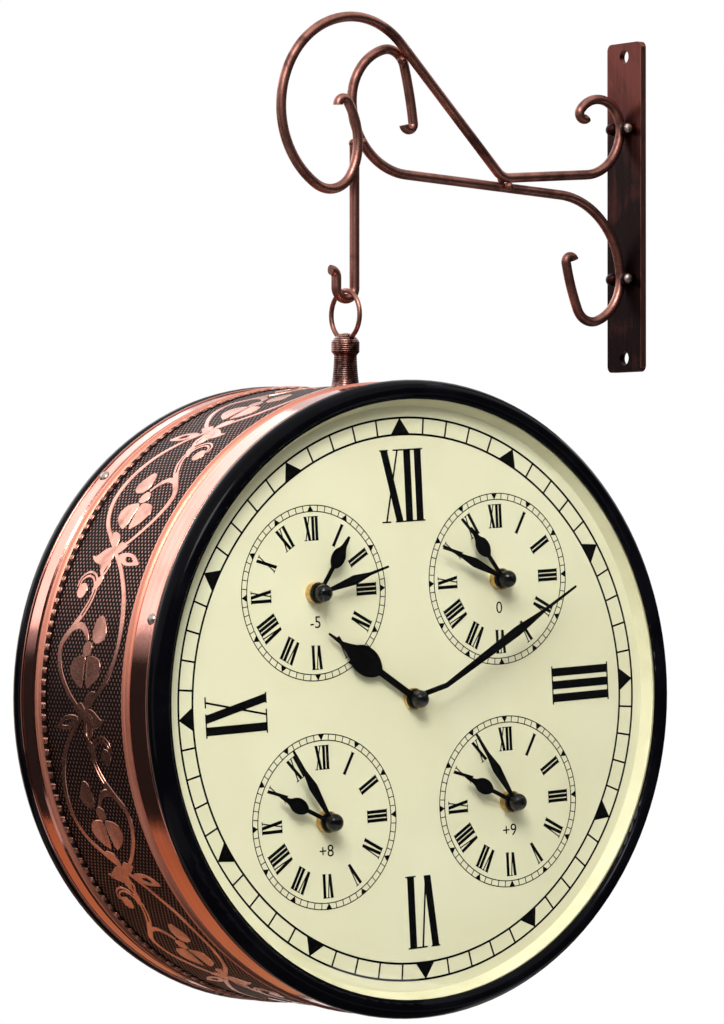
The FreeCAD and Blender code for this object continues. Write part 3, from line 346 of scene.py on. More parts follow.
PLATE = brushed_plate()
RIM = rolled_rims()
WELD = weld_drops()
POST = ringed_post()
GROUND = woven_ground()
GLASS = clear_glass()
BRACKET = tarnished("bracket_copper", (0.42, 0.185, 0.145), (0.1, 0.04, 0.033),
                    patch=(55.0, 0.4, 0.72), grain=1400.0, rough=(0.36, 0.5))
VINE = tarnished("vine_copper", (0.60, 0.275, 0.21), (0.34, 0.145, 0.105),
                 patch=(60.0, 0.42, 0.75), grain=1500.0, rough=(0.24, 0.38))
BEADS = tarnished("bead_copper", (0.58, 0.27, 0.2), (0.15, 0.065, 0.05),
                  patch=(120.0, 0.4, 0.7), grain=1500.0, rough=(0.28, 0.45))
GROOVE = tarnished("bead_bed", (0.016, 0.008, 0.007), (0.007, 0.004, 0.004),
                   patch=(80.0, 0.4, 0.7), grain=900.0, rough=(0.5, 0.7))
DRUM = tarnished("drum_copper", (0.3, 0.13, 0.1), (0.12, 0.05, 0.04),
                 patch=(20.0, 0.4, 0.7), grain=600.0, rough=(0.35, 0.55))
STEEL = tarnished("dulled_steel", (0.5, 0.42, 0.37), (0.2, 0.14, 0.11),
                  patch=(200.0, 0.4, 0.7), grain=2000.0, rough=(0.3, 0.5))
BRASS = tarnished("nut_brass", (0.72, 0.5, 0.2), (0.3, 0.17, 0.07),
                  patch=(300.0, 0.42, 0.75), grain=2600.0, rough=(0.25, 0.4))

# Relief of the smoothest coats
SMOOTH = 0.01 * MM
BLACK_GLOSS = coated("bezel_black", (0.002, 0.002, 0.003), (0.004, 0.004, 0.006), patch=(40.0, 0.4, 0.7),
                     grain=500.0, rough=(0.1, 0.16), depth=SMOOTH, specular_ior_level=0.06)
HAND_BLACK = coated("hand_black", (0.0015, 0.0015, 0.0015), (0.003, 0.003, 0.0035), patch=(90.0, 0.4, 0.7),
                    grain=1500.0, rough=(0.2, 0.3), depth=SMOOTH, specular_ior_level=0.04)
CAP_BLACK = coated("cap_black", (0.002, 0.002, 0.002), (0.005, 0.005, 0.005), patch=(120.0, 0.4, 0.7),
                   grain=1500.0, rough=(0.08, 0.14), depth=SMOOTH, specular_ior_level=0.35)
DIAL = coated("dial_cream", (0.83, 0.805, 0.56), (0.79, 0.76, 0.51), patch=(16.0, 0.35, 0.7),
              grain=1200.0, rough=(0.42, 0.5), depth=SMOOTH, specular_ior_level=0.12)
INK = coated("dial_ink", (0.002, 0.002, 0.002), (0.004, 0.004, 0.004), patch=(200.0, 0.4, 0.7),
             grain=3000.0, rough=(0.5, 0.65), depth=SMOOTH, specular_ior_level=0.0)
SPACER = coated("spacer_cream", (0.78, 0.75, 0.50), (0.70, 0.66, 0.42),
                patch=(30.0, 0.35, 0.7), grain=900.0, rough=(0.4, 0.5))
MOVEMENT = coated("movement_plastic", (0.02, 0.02, 0.021), (0.035, 0.035, 0.036),
                  patch=(50.0, 0.4, 0.7), grain=2500.0, rough=(0.5, 0.65))
CELL = coated("cell_sleeve", (0.45, 0.46, 0.48), (0.36, 0.36, 0.38),
              patch=(80.0, 0.4, 0.7), grain=900.0, rough=(0.3, 0.4))
BOARD = coated("circuit_board", (0.03, 0.16, 0.08), (0.02, 0.11, 0.05),
               patch=(200.0, 0.4, 0.7), grain=2500.0, rough=(0.35, 0.5))
GASKET = coated("gasket_rubber", (0.025, 0.025, 0.025), (0.04, 0.04, 0.04),
                patch=(200.0, 0.4, 0.7), grain=2500.0, rough=(0.7, 0.85))

# Finish of each CAD node; those not listed are hands and their arbors
NODE_FINISH = {
    "wall_plate": PLATE, "upper_scroll": BRACKET, "lower_scroll": BRACKET, "hook_rod": BRACKET,
    "weld_beads": WELD, "hanging_ring": BRACKET, "drum_shell": DRUM, "embossed_band": GROUND,
    "bead_trim": GROOVE, "finial": POST,
    "front_rim": RIM, "rear_rim": RIM, "front_bezel": BLACK_GLOSS, "rear_bezel": BLACK_GLOSS,
    "front_glass": GLASS, "rear_glass": GLASS, "front_dial": DIAL, "rear_dial": DIAL,
    "front_spacer_ring": SPACER, "rear_spacer_ring": SPACER, "rim_screws": STEEL, "finial_washer": STEEL,
    "finial_nut": STEEL, "movement_cases": MOVEMENT, "movement_covers": MOVEMENT, "cells": CELL,
    "circuit_boards": BOARD, "gaskets": GASKET, "bush_nuts": BRASS,
}
for label, item in nodes.items():
    for place in item.material_slots:
        place.material = NODE_FINISH.get(label, CAP_BLACK if label.endswith("_arbor") else HAND_BLACK)


# Mesh helpers

def mesh_of(name, bm):
    """Mesh from a drawing, which is used up"""
    mesh = bpy.data.meshes.new(name)
    bm.to_mesh(mesh)
    bm.free()
    return mesh


def shown(name, data):
    """Object in the scene"""
    item = bpy.data.objects.new(name, data)
    bpy.context.scene.collection.objects.link(item)
    return item


def evaluated(carrier):
    """Plain mesh of an object as it is shown; the object goes"""
    graph = bpy.context.evaluated_depsgraph_get()
    mesh = bpy.data.meshes.new_from_object(carrier.evaluated_get(graph))
    bpy.data.objects.remove(carrier)
    return mesh


def ridden(name, mesh, finish, body="case"):
    """Piece of the object with one finish, riding on a body"""
    piece = shown(name, mesh)
    mesh.materials.clear()
    mesh.materials.append(finish)
    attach(piece, body)
    return piece


def round_the_axis():
    """Copies of a piece round an axis along Y"""
    inputs = {"Geometry": "Geometry", "Count": "Int", "Step": "Float", "Centre": "Vector",
              "Finish": "Material"}
    tree, source, sink = group_tree("round_the_axis", "GeometryNodeTree", inputs, {"Geometry": "Geometry"})
    given = source.outputs
    points = add(tree, "GeometryNodePoints", {"Count": given["Count"]})
    index = add(tree, "GeometryNodeInputIndex")
    angle = calc(tree, "MULTIPLY", index.outputs["Index"], given["Step"])
    turn = add(tree, "ShaderNodeCombineXYZ", {"Y": angle})
    copies = add(tree, "GeometryNodeInstanceOnPoints", {"Points": points.outputs[0],
                                                        "Instance": given["Geometry"],
                                                        "Rotation": turn.outputs["Vector"]})
    placed = add(tree, "GeometryNodeTransform", {"Geometry": copies.outputs["Instances"],
                                                 "Translation": given["Centre"]})
    real = add(tree, "GeometryNodeRealizeInstances", {"Geometry": placed.outputs["Geometry"]})
    painted = add(tree, "GeometryNodeSetMaterial", {"Geometry": real.outputs["Geometry"],
                                                    "Material": given["Finish"]})
    tree.links.new(painted.outputs["Geometry"], sink.inputs["Geometry"])
    return tree


ROUND = round_the_axis()


def repeated(name, bm, count, finish, centre):
    """Plain mesh of copies of a piece, evenly all round an axis along Y"""
    carrier = shown(name, mesh_of(name + "_one", bm))
    modifier = carrier.modifiers.new("copies", "NODES")
    modifier.node_group = ROUND
    values = {"Count": count, "Step": 2 * math.pi / count, "Centre": centre, "Finish": finish}
    for socket in ROUND.interface.items_tree:
        if socket.in_out == "INPUT" and socket.name in values:
            modifier[socket.identifier] = values[socket.name]
    mesh = evaluated(carrier)
    mesh.name = name
    return mesh


def lathed(profile, segments=240, closed=True):
    """Ring turned about Y from (radius, depth) points in metres, in order round its section"""
    bm = bmesh.new()
    rings = []
    for i in range(segments):
        angle = 2 * math.pi * i / segments
        rings.append([bm.verts.new((math.sin(angle) * r, y, math.cos(angle) * r)) for r, y in profile])
    count = len(profile)
    for i in range(segments):
        here, there = rings[i], rings[(i + 1) % segments]
        for j in range(count if closed else count - 1):
            k = (j + 1) % count
            bm.faces.new((here[j], here[k], there[k], there[j]))
    bmesh.ops.recalc_face_normals(bm, faces=bm.faces)
    for face in bm.faces:
        face.smooth = True
    return bm


def smooth_line(points, steps=6, closed=False):
    """Points along a smooth curve through the given ones"""
    count = len(points)
    last = count if closed else count - 1
    line = []
    for i in range(last):
        if closed:
            p = [Vector(points[(i + k) % count]) for k in (-1, 0, 1, 2)]
        else:
            p = [Vector(points[min(max(i + k, 0), count - 1)]) for k in (-1, 0, 1, 2)]
        for j in range(steps):
            t = j / steps
            line.append(0.5 * (2 * p[1] + (p[2] - p[0]) * t + (2 * p[0] - 5 * p[1] + 4 * p[2] - p[3]) * t ** 2
                               + (3 * p[1] - p[0] - 3 * p[2] + p[3]) * t ** 3))
    if not closed:
        line.append(Vector(points[-1]))
    return line


# Embossed band: a vine with heart-shaped flowers, drawn flat as (along, across) in millimetres

# Height of the relief's top and foot, its sloped edge on patches, and on stems as a share of their width
RELIEF = 0.22
SUNK = -0.05
EDGE = 0.25
STEM_EDGE = 0.1

# Length of a cell on the drawing, and its turn and first place on the drum
CELL_LENGTH = 70.0
CELL_TURN = math.radians(30.0)
FIRST_CELL = math.radians(279.0)


def raised_patch(shapes, outline):
    """Flat-topped relief inside a closed outline"""
    shapes.append(("patch", [Vector(p) for p in outline]))


def raised_ring(shapes, outline, hole):
    """Relief between an outline and the same outline drawn in to its middle"""
    middle = sum(outline, Vector((0, 0))) / len(outline)
    shapes.append(("ring", outline, [middle + (p - middle) * hole for p in outline]))


def raised_stem(shapes, points, widths, steps=7, gap=0.0):
    """Relief along a line; a gap leaves a dark line down its middle"""
    line = smooth_line(points, steps)
    reach = len(line) - 1
    breadth = smooth_line([(w, 0) for w in widths], max(1, math.ceil(reach / (len(widths) - 1))))
    last = len(breadth) - 1
    half = [breadth[min(last, round(i * last / reach))].x / 2 for i in range(reach + 1)]
    if gap:
        shapes.append(("stem", line, half, -1.0, -gap))
        shapes.append(("stem", line, half, gap, 1.0))
    else:
        shapes.append(("stem", line, half, -1.0, 1.0))


def leaf(root, tip, fullness, bend=0.0):
    """Pointed leaf outline from its root to its tip, in shares of its length and breadth"""
    root, tip = Vector(root), Vector(tip)
    along = tip - root
    across = Vector((-along.y, along.x)) * fullness
    sway = Vector((-along.y, along.x)) * bend
    near, mid, far = root + along * 0.2 + sway * 0.5, root + along * 0.45 + sway, root + along * 0.8 + sway
    points = [root, near + across * 0.75, mid + across, far + across * 0.5,
              tip, far - across * 0.4, mid - across, near - across * 0.75]
    return smooth_line([tuple(p) for p in points], steps=4, closed=True)


def vine_cell():
    """One flower with its stems and leaves; the next cell is the same, flipped across the band"""
    shapes = []
    # flower: two lower petals, a bud and an upper petal
    lobe = [(2.6, 0.7), (2.0, 5.0), (3.4, 10.0), (7.2, 12.0), (11.2, 10.2), (14.6, 5.2), (15.2, 1.8),
            (9.0, 0.6)]
    bud = [(2.2, 0.0), (1.0, 3.1), (-2.4, 3.4), (-4.3, 0.2), (-2.6, -3.1), (0.9, -3.1)]
    petal = [(-3.9, 3.9), (-3.1, 7.2), (-4.2, 11.0), (-6.8, 13.0), (-10.8, 11.8), (-14.4, 9.0), (-15.2, 6.0),
             (-13.0, 3.4), (-9.0, 2.2), (-5.8, 2.6)]
    for outline in ([(s, -w) for s, w in lobe], lobe, bud, petal):
        raised_patch(shapes, smooth_line(outline, steps=5, closed=True))
    # main stem on one side, branch with its curl on the other
    main = [(-44.0, 0.0), (-36.0, 10.0), (-25.0, 19.0), (-12.0, 23.6), (0.0, 23.4), (11.0, 18.0), (19.0, 9.0),
            (25.5, 0.4)]
    raised_stem(shapes, main, (2.2, 2.6, 3.2, 3.0, 2.4, 2.0))
    branch = [(26.0, -1.5), (18.0, -12.0), (8.0, -20.0), (-2.0, -21.5), (-9.0, -15.5), (-15.0, -9.5)]
    raised_stem(shapes, branch, (2.0, 2.6, 3.2, 3.4, 3.4))
    curl = [(-15.0, -9.5), (-21.0, -5.6), (-27.0, -4.4), (-32.0, -7.6), (-33.4, -13.0), (-31.2, -17.4),
            (-27.6, -18.4)]
    raised_stem(shapes, curl, (3.4, 3.2, 3.0, 2.6), gap=0.2)
    (along, across), (half_along, half_across) = (-26.0, -14.6), (3.6, 3.8)
    turns = [k * math.pi / 4 for k in range(8)]
    ball = [(along + half_along * math.cos(a), across + half_across * math.sin(a)) for a in turns]
    raised_patch(shapes, smooth_line(ball, steps=3, closed=True))
    hook = [(-6.4, -18.0), (-9.8, -13.6), (-10.6, -8.0), (-8.0, -3.2), (-4.4, -0.6)]
    raised_stem(shapes, hook, (1.6, 3.2, 3.0, 1.6))
    # leaf cluster where the stems meet, an almond leaf beside it and a small sprig after it
    cluster = (((17.0, 9.0), 0.24, 0.12), ((28.5, 16.0), 0.24, -0.14), ((38.5, 2.0), 0.26, 0.14),
               ((33.0, 8.0), 0.24, 0.0), ((23.5, -8.5), 0.3, 0.0))
    for tip, fullness, bend in cluster:
        raised_patch(shapes, leaf((25.0, 1.0), tip, fullness, bend))
    almond = [(27.6, -5.0), (26.6, -10.0), (27.6, -16.5), (30.6, -21.5), (32.4, -23.0), (33.0, -19.5),
              (32.8, -12.0), (30.4, -6.8)]
    raised_ring(shapes, smooth_line(almond, steps=4, closed=True), hole=0.36)
    raised_stem(shapes, [(28.0, 2.0), (34.0, 0.0), (40.0, 4.4)], (1.6, 1.8, 1.4))
    raised_patch(shapes, leaf((37.0, 1.6), (45.0, 6.6), fullness=0.26))
    return shapes


def on_band(along, across, height, turn):
    """Point on the band, in metres about its axis; along runs down the left side, across to the front"""
    angle = turn - along / CELL_LENGTH * CELL_TURN
    radius = BAND_RADIUS + height * MM
    return (math.sin(angle) * radius, -across * MM, math.cos(angle) * radius)


def inset(outline, distance):
    """Outline drawn in by a distance"""
    count = len(outline)
    middle = sum(outline, Vector((0, 0))) / count
    drawn = []
    for k, point in enumerate(outline):
        side = outline[(k + 1) % count] - outline[k - 1]
        inward = Vector((-side.y, side.x)).normalized()
        if inward.dot(middle - point) < 0:
            inward = -inward
        drawn.append(point + inward * distance)
    return drawn


def emboss(bm, shapes, turn, flip):
    """Flat drawing made into low relief on the band"""

    def loop(points, height):
        return [bm.verts.new(on_band(p.x, p.y * flip, height, turn)) for p in points]

    def skin(loops):
        for low, high in zip(loops, loops[1:]):
            for k in range(len(low)):
                m = (k + 1) % len(low)
                bm.faces.new((low[k], low[m], high[m], high[k]))

    for kind, *drawn in shapes:
        if kind == "patch":
            foot, top = loop(drawn[0], SUNK), loop(inset(drawn[0], EDGE), RELIEF)
            skin([foot, top])
            bm.faces.new(top)
            bm.faces.new(foot)
        elif kind == "ring":
            outer, inner = drawn
            loops = [loop(outer, SUNK), loop(inset(outer, EDGE), RELIEF), loop(inset(inner, -EDGE), RELIEF),
                     loop(inner, SUNK)]
            skin(loops + loops[:1])
        else:
            line, half, low, high = drawn
            edge = (high - low) * STEM_EDGE
            section = ((low, SUNK), (low + edge, RELIEF), (high - edge, RELIEF), (high, SUNK))
            rows = []
            for k, point in enumerate(line):
                run = line[min(k + 1, len(line) - 1)] - line[max(k - 1, 0)]
                side = Vector((-run.y, run.x)).normalized() * half[k]
                places = [(point + side * a, h) for a, h in section]
                rows.append([bm.verts.new(on_band(p.x, p.y * flip, h, turn)) for p, h in places])
            skin(rows)
            bm.faces.new(rows[0])
            bm.faces.new(rows[-1])


def embossed_vine():
    """Vine round the band: a cell and its flipped neighbour, repeated"""
    bm = bmesh.new()
    cell = vine_cell()
    emboss(bm, cell, FIRST_CELL, 1)
    emboss(bm, cell, FIRST_CELL + CELL_TURN, -1)
    bmesh.ops.triangulate(bm, faces=[face for face in bm.faces if len(face.verts) > 4])
    bmesh.ops.recalc_face_normals(bm, faces=bm.faces)
    mesh = repeated("band_vine", bm, round(math.pi / CELL_TURN), VINE, CASE_AXIS)
    ridden("band_vine", mesh, VINE)


def bead_row():
    """Row of flat-topped beads along the rear edge of the band, on a dark bed"""
    count = 170
    fill = 0.66
    flatness = 3
    steps_along, steps_across = 6, 5
    clear, side_clear = 0.05 * MM, 0.1 * MM
    skirt, bed_height = 0.1 * MM, 0.2 * MM
    low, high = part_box("bead_trim")
    crown = (high.x - low.x) / 2 - clear
    foot = BAND_RADIUS + clear
    half_width = (high.y - low.y) / 2 - side_clear
    row = (high.y + low.y) / 2
    half_length = math.pi * foot / count * fill
    bm = bmesh.new()
    grid = []
    for i in range(steps_along + 1):
        a = -1 + 2 * i / steps_along
        line = []
        for j in range(steps_across + 1):
            b = -1 + 2 * j / steps_across
            swell = math.sqrt(max(0.0, (1 - abs(a) ** flatness) * (1 - abs(b) ** flatness)))
            angle = a * half_length / foot
            radius = foot + skirt + (crown - foot - skirt) * swell
            place = (math.sin(angle) * radius, row + b * half_width, math.cos(angle) * radius)
            line.append(bm.verts.new(place))
        grid.append(line)
    for near, far in zip(grid, grid[1:]):
        for j in range(steps_across):
            bm.faces.new((near[j], near[j + 1], far[j + 1], far[j]))
    rim = [line[0] for line in grid] + grid[-1][1:] + [line[-1] for line in grid[-2::-1]] + grid[0][-2:0:-1]
    bm.faces.new(rim)
    bmesh.ops.recalc_face_normals(bm, faces=bm.faces)
    for face in bm.faces:
        face.smooth = len(face.verts) == 4
    beads = ridden("bead_row", repeated("bead_row", bm, count, BEADS, CASE_AXIS), BEADS)
    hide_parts("bead_trim")
    top = foot + bed_height
    bed = lathed([(foot, row - half_width), (top, row - half_width), (top, row + half_width),
                  (foot, row + half_width)])
    bmesh.ops.translate(bed, vec=CASE_AXIS, verts=bed.verts)
    ridden("bead_bed", mesh_of("bead_bed", bed), GROOVE)


def domed_glasses():
    """Clear domes with a true crown and a flat edge under the bezel lip"""
    thick = 2.0 * MM
    same_depth, same_place = 0.01 * MM, 0.0005 * MM
    steps, segments = 28, 200
    crease = math.radians(20)
    low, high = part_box("front_glass")
    rise = high.y - low.y - thick
    edge = (high.x - low.x) / 2
    seat = [v.co for v in nodes["front_glass"].data.vertices if high.y - v.co.y < same_depth]
    lip = min(math.hypot(co.x - CASE_AXIS.x, co.z - CASE_AXIS.z) for co in seat)
    ball = (lip ** 2 + rise ** 2) / (2 * rise)

    def cap(base):
        return [(lip * k / steps, base - (math.sqrt(ball ** 2 - (lip * k / steps) ** 2) - ball + rise))
                for k in range(steps + 1)]

    profile = cap(high.y) + [(edge, high.y), (edge, high.y - thick)] + cap(high.y - thick)[::-1]
    for side, turn in SIDES.items():
        bm = lathed(profile, segments, closed=False)
        bmesh.ops.remove_doubles(bm, verts=bm.verts, dist=same_place)
        bmesh.ops.recalc_face_normals(bm, faces=bm.faces)
        for line in bm.edges:
            line.smooth = line.calc_face_angle(0.0) < crease
        place = Matrix.Translation(CASE_AXIS) @ Matrix.Rotation(turn, 4, "Z")
        bmesh.ops.transform(bm, matrix=place, verts=bm.verts)
        dome = ridden(f"{side}_dome", mesh_of(f"{side}_dome", bm), GLASS)
        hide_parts(f"{side}_glass")


# Dial print, drawn flat as (right, up) in millimetres on a dial that faces -Y

INK_LIFT = 0.07
HOURS, MINUTES = 12, 60
HOUR_TURN = 2 * math.pi / HOURS
ROMAN = ("XII", "I", "II", "III", "IV", "V", "VI", "VII", "VIII", "IX", "X", "XI")
MAIN_HOURS = (0, 3, 6, 9)

# Tracks: radii, widths of circles and ticks, and the width of the solid points at their foot
MAIN_TRACK = {"inner": 116.0, "outer": 123.35, "line": 0.95, "tick": 0.85, "base": 10.2}
SMALL_TRACK = {"inner": 35.3, "outer": 38.0, "line": 0.42, "tick": 0.38, "base": 3.2}

# Numerals: height, widths of the two strokes, and radius of the feet
MAIN_NUMERAL = {"height": 32.0, "thick": 3.7, "thin": 0.9, "foot": 77.6}
SMALL_NUMERAL = {"height": 10.6, "thick": 1.45, "thin": 0.52, "foot": 22.6}

# Letters: width to height, serif's length to width, serif's height to the thin stroke,
# and to the thick stroke the inset of slanted strokes and the spread of their point
LETTER_WIDTH = {"I": 0.18, "V": 0.36, "X": 0.37}
SERIF_LENGTH = {"I": 0.98, "V": 0.42, "X": 0.4}
SERIF_HEIGHT = 0.75
STROKE_INSET = 0.62
POINT_SPREAD = 0.1

# Small clocks: by side and height, the plain number of hours and whether the track's points look outwards
SMALL_CLOCKS = {(-1, 1): ("-5", True), (1, 1): ("0", False), (-1, -1): ("+8", False), (1, -1): ("+9", False)}
SMALL_ACROSS, SMALL_UP = 50.0, 49.6
NUMBER_HEIGHT = 5.2
NUMBER_DROP = 13.0
DIGIT_TO_SIZE = 0.7


def slab(bm, outline):
    """Thin raised print inside an outline"""
    front = [bm.verts.new((x * MM, -INK_LIFT * MM, z * MM)) for x, z in outline]
    back = [bm.verts.new((x * MM, 0.0, z * MM)) for x, z in outline]
    bm.faces.new(front)
    bm.faces.new(back[::-1])
    for i in range(len(front)):
        j = (i + 1) % len(front)
        bm.faces.new((front[j], front[i], back[i], back[j]))


def circle_line(bm, radius, width, segments=180):
    """Thin printed circle"""
    inner, outer = radius - width / 2, radius + width / 2
    for i in range(segments):
        a, b = (2 * math.pi * k / segments for k in (i, i + 1))
        corners = ((inner, a), (outer, a), (outer, b), (inner, b))
        slab(bm, [(r * math.sin(t), r * math.cos(t)) for r, t in corners])


def numeral(bm, hour, height, thick, thin, foot):
    """Roman numeral with its feet to the centre, at its hour"""
    text, turn = ROMAN[hour], hour * HOUR_TURN
    advance = [LETTER_WIDTH[letter] * height for letter in text]
    left = -sum(advance) / 2
    half_serif = thin * SERIF_HEIGHT / 2
    top = height - half_serif

    def put(corners):
        c, s = math.cos(turn), math.sin(turn)
        slab(bm, [(x * c + (y + foot) * s, -x * s + (y + foot) * c) for x, y in corners])

    def stroke(low_x, high_x, width):
        half = width / 2
        put([(low_x - half, half_serif), (low_x + half, half_serif), (high_x + half, top),
             (high_x - half, top)])

    def serif(x, y, length):
        half = length / 2
        put([(x - half, y - half_serif), (x + half, y - half_serif), (x + half, y + half_serif),
             (x - half, y + half_serif)])

    for letter, wide in zip(text, advance):
        middle = left + wide / 2
        reach = wide / 2 - thick * STROKE_INSET
        spread = thick * POINT_SPREAD
        if letter == "I":
            stroke(middle, middle, thick)
            ends = [(middle, half_serif), (middle, top)]
        elif letter == "V":
            stroke(middle - spread, middle - reach, thick)
            stroke(middle + spread, middle + reach, thin)
            ends = [(middle - reach, top), (middle + reach, top)]
        else:
            stroke(middle + reach, middle - reach, thick)
            stroke(middle - reach, middle + reach, thin)
            ends = [(x, y) for x in (middle - reach, middle + reach) for y in (half_serif, top)]
        for x, y in ends:
            serif(x, y, wide * SERIF_LENGTH[letter])
        left += wide


def track(parts, centre, apex_out, inner, outer, line, tick, base):
    """Minute track: two circles, sixty cells and twelve solid points"""
    circles = bmesh.new()
    circle_line(circles, inner, line)
    circle_line(circles, outer, line)
    bmesh.ops.translate(circles, vec=centre, verts=circles.verts)
    parts.append(mesh_of("track_circles", circles))
    cell = bmesh.new()
    slab(cell, [(-tick / 2, inner), (tick / 2, inner), (tick / 2, outer), (-tick / 2, outer)])
    parts.append(repeated("track_ticks", cell, MINUTES, INK, centre))
    point = bmesh.new()
    root, tip = (inner, outer) if apex_out else (outer, inner)
    corners = [(-base / 2, root), (base / 2, root), (0.0, tip)]
    slab(point, corners if apex_out else corners[::-1])
    parts.append(repeated("track_points", point, HOURS, INK, centre))


def plain_number(text):
    """Flat number as a mesh, centred, upright on a face that looks to -Y"""
    curve = bpy.data.curves.new("number", "FONT")
    curve.body = text
    curve.size = NUMBER_HEIGHT * MM / DIGIT_TO_SIZE
    curve.extrude = INK_LIFT * MM / 2
    curve.align_x = "CENTER"
    curve.align_y = "CENTER"
    mesh = evaluated(shown("number", curve))
    mesh.transform(Matrix.Translation((0, -INK_LIFT * MM / 2, 0)) @ Matrix.Rotation(math.pi / 2, 4, "X"))
    return mesh


def dial_drawing():
    """Everything printed on one dial, about its centre"""
    parts = []
    track(parts, (0, 0, 0), True, **MAIN_TRACK)
    letters = bmesh.new()
    for hour in MAIN_HOURS:
        numeral(letters, hour, **MAIN_NUMERAL)
    parts.append(mesh_of("main_numerals", letters))
    for (across, up), (offset, apex_out) in SMALL_CLOCKS.items():
        centre = Vector((across * SMALL_ACROSS * MM, 0, up * SMALL_UP * MM))
        track(parts, centre, apex_out, **SMALL_TRACK)
        small = bmesh.new()
        for hour in range(HOURS):
            numeral(small, hour, **SMALL_NUMERAL)
        bmesh.ops.translate(small, vec=centre, verts=small.verts)
        parts.append(mesh_of("small_numerals", small))
        number = plain_number(offset)
        number.transform(Matrix.Translation(centre - Vector((0, 0, NUMBER_DROP * MM))))
        parts.append(number)
    whole = bmesh.new()
    for mesh in parts:
        whole.from_mesh(mesh)
        bpy.data.meshes.remove(mesh)
    bmesh.ops.recalc_face_normals(whole, faces=whole.faces)
    return whole


def dial_prints():
    """The same print on both dials"""
    drawing = dial_drawing()
    on_dial = Matrix.Translation((0, -DIAL_DEPTH, 0)) @ Matrix.Rotation(-DIAL_ANGLE, 4, "Y")
    for side, turn in SIDES.items():
        copy = drawing.copy()
        place = Matrix.Translation(CASE_AXIS) @ Matrix.Rotation(turn, 4, "Z") @ on_dial
        bmesh.ops.transform(copy, matrix=place, verts=copy.verts)
        ridden(f"{side}_dial_print", mesh_of(f"{side}_dial_print", copy), INK)
    drawing.free()


embossed_vine()
bead_row()
domed_glasses()
dial_prints()


# Stage: floor, light and camera, in metres; places of cards are from the middle of the case

WHITE = (1.0, 1.0, 1.0, 1.0)
PALE = (0.9, 0.9, 0.9, 1.0)
DARK = (0.02, 0.02, 0.02, 1.0)
MATT = 0.9
ROOM_LIGHT = 0.46
FLOOR_SIZE, FLOOR_DROP = (14, 14), 1.9
UNDER_SIZE, UNDER_DROP = (3.4, 3.4), 1.75
GLOWING_CARDS = {
    "bright_card": {"size": (2.3, 1.15), "place": (-0.25, 2.0, 1.1), "strength": 2.4, "colour": WHITE},
    "side_card": {"size": (1.3, 1.5), "place": (1.45, 1.7, -0.05), "strength": 1.1,
                  "colour": (1.0, 0.95, 0.92, 1.0)},
    "low_card": {"size": (1.3, 1.0), "place": (0.1, 2.0, -0.05), "strength": 1.0,
                 "colour": (1.0, 0.76, 0.66, 1.0)},
    "left_card": {"size": (0.7, 1.1), "place": (-2.0, 0.6, -0.05), "strength": 1.0,
                  "colour": (1.0, 0.86, 0.8, 1.0), "turn": math.pi / 2},
    "warm_card": {"size": (2.0, 0.75), "place": (0.05, 1.9, -1.33), "strength": 0.62,
                  "colour": (1.0, 0.46, 0.22, 1.0)},
}


def white_to_the_eye(tree, surface, sink, in_metal):
    """White where it is seen directly or through glass, and in metal if asked; its own shade elsewhere"""
    light = add(tree, "ShaderNodeLightPath").outputs
    seen = calc(tree, "MAXIMUM", light["Is Camera Ray"], light["Is Transmission Ray"])
    if in_metal:
        seen = calc(tree, "MAXIMUM", seen, light["Is Glossy Ray"])
    in_world = sink.bl_idname == "ShaderNodeOutputWorld"
    glow = add(tree, "ShaderNodeBackground" if in_world else "ShaderNodeEmission",
               {"Color": WHITE, "Strength": 1.0})
    mix = add(tree, "ShaderNodeMixShader", {0: seen, 1: surface, 2: glow.outputs[0]})
    tree.links.new(mix.outputs["Shader"], sink.inputs["Surface"])


def world_light():
    """Even white room"""
    world = bpy.data.worlds.new("studio")
    bpy.context.scene.world = world
    world.use_nodes = True
    tree = world.node_tree
    tree.nodes.clear()
    sink = add(tree, "ShaderNodeOutputWorld")
    room = add(tree, "ShaderNodeBackground", {"Color": WHITE, "Strength": ROOM_LIGHT})
    white_to_the_eye(tree, room.outputs["Background"], sink, in_metal=True)


def staged(name, bm, material):
    """Piece of the stage from a drawing"""
    item = shown(name, mesh_of(name, bm))
    item.data.materials.append(material)
    return item


def plane(name, size, place, material, tilt=0.0, turn=0.0):
    """Flat piece of the stage, tilted about X and then turned about Z"""
    bm = bmesh.new()
    bmesh.ops.create_grid(bm, x_segments=1, y_segments=1, size=0.5)
    shape = Matrix.Translation(place) @ Matrix.Rotation(turn, 4, "Z") @ Matrix.Rotation(tilt, 4, "X")
    bmesh.ops.transform(bm, matrix=shape @ Matrix.Diagonal((*size, 1, 1)), verts=bm.verts)
    return staged(name, bm, material)


def only_in_metal(card, through_glass=False):
    """Card that shows in reflections, through glass if asked, and nowhere else"""
    for ray in ("camera", "diffuse", "volume_scatter", "shadow"):
        setattr(card, f"visible_{ray}", False)
    card.visible_transmission = through_glass


def glowing_card(name, size, place, colour, strength, turn=0.0):
    """Upright card that lights only the metal, facing front and back unless it is turned"""
    look = new_look(name)
    glow = add(look.tree, "ShaderNodeEmission", {"Color": colour, "Strength": strength})
    look.tree.links.new(glow.outputs["Emission"], look.sink.inputs["Surface"])
    only_in_metal(plane(name, size, CASE_AXIS + Vector(place), look.material, math.pi / 2, turn))


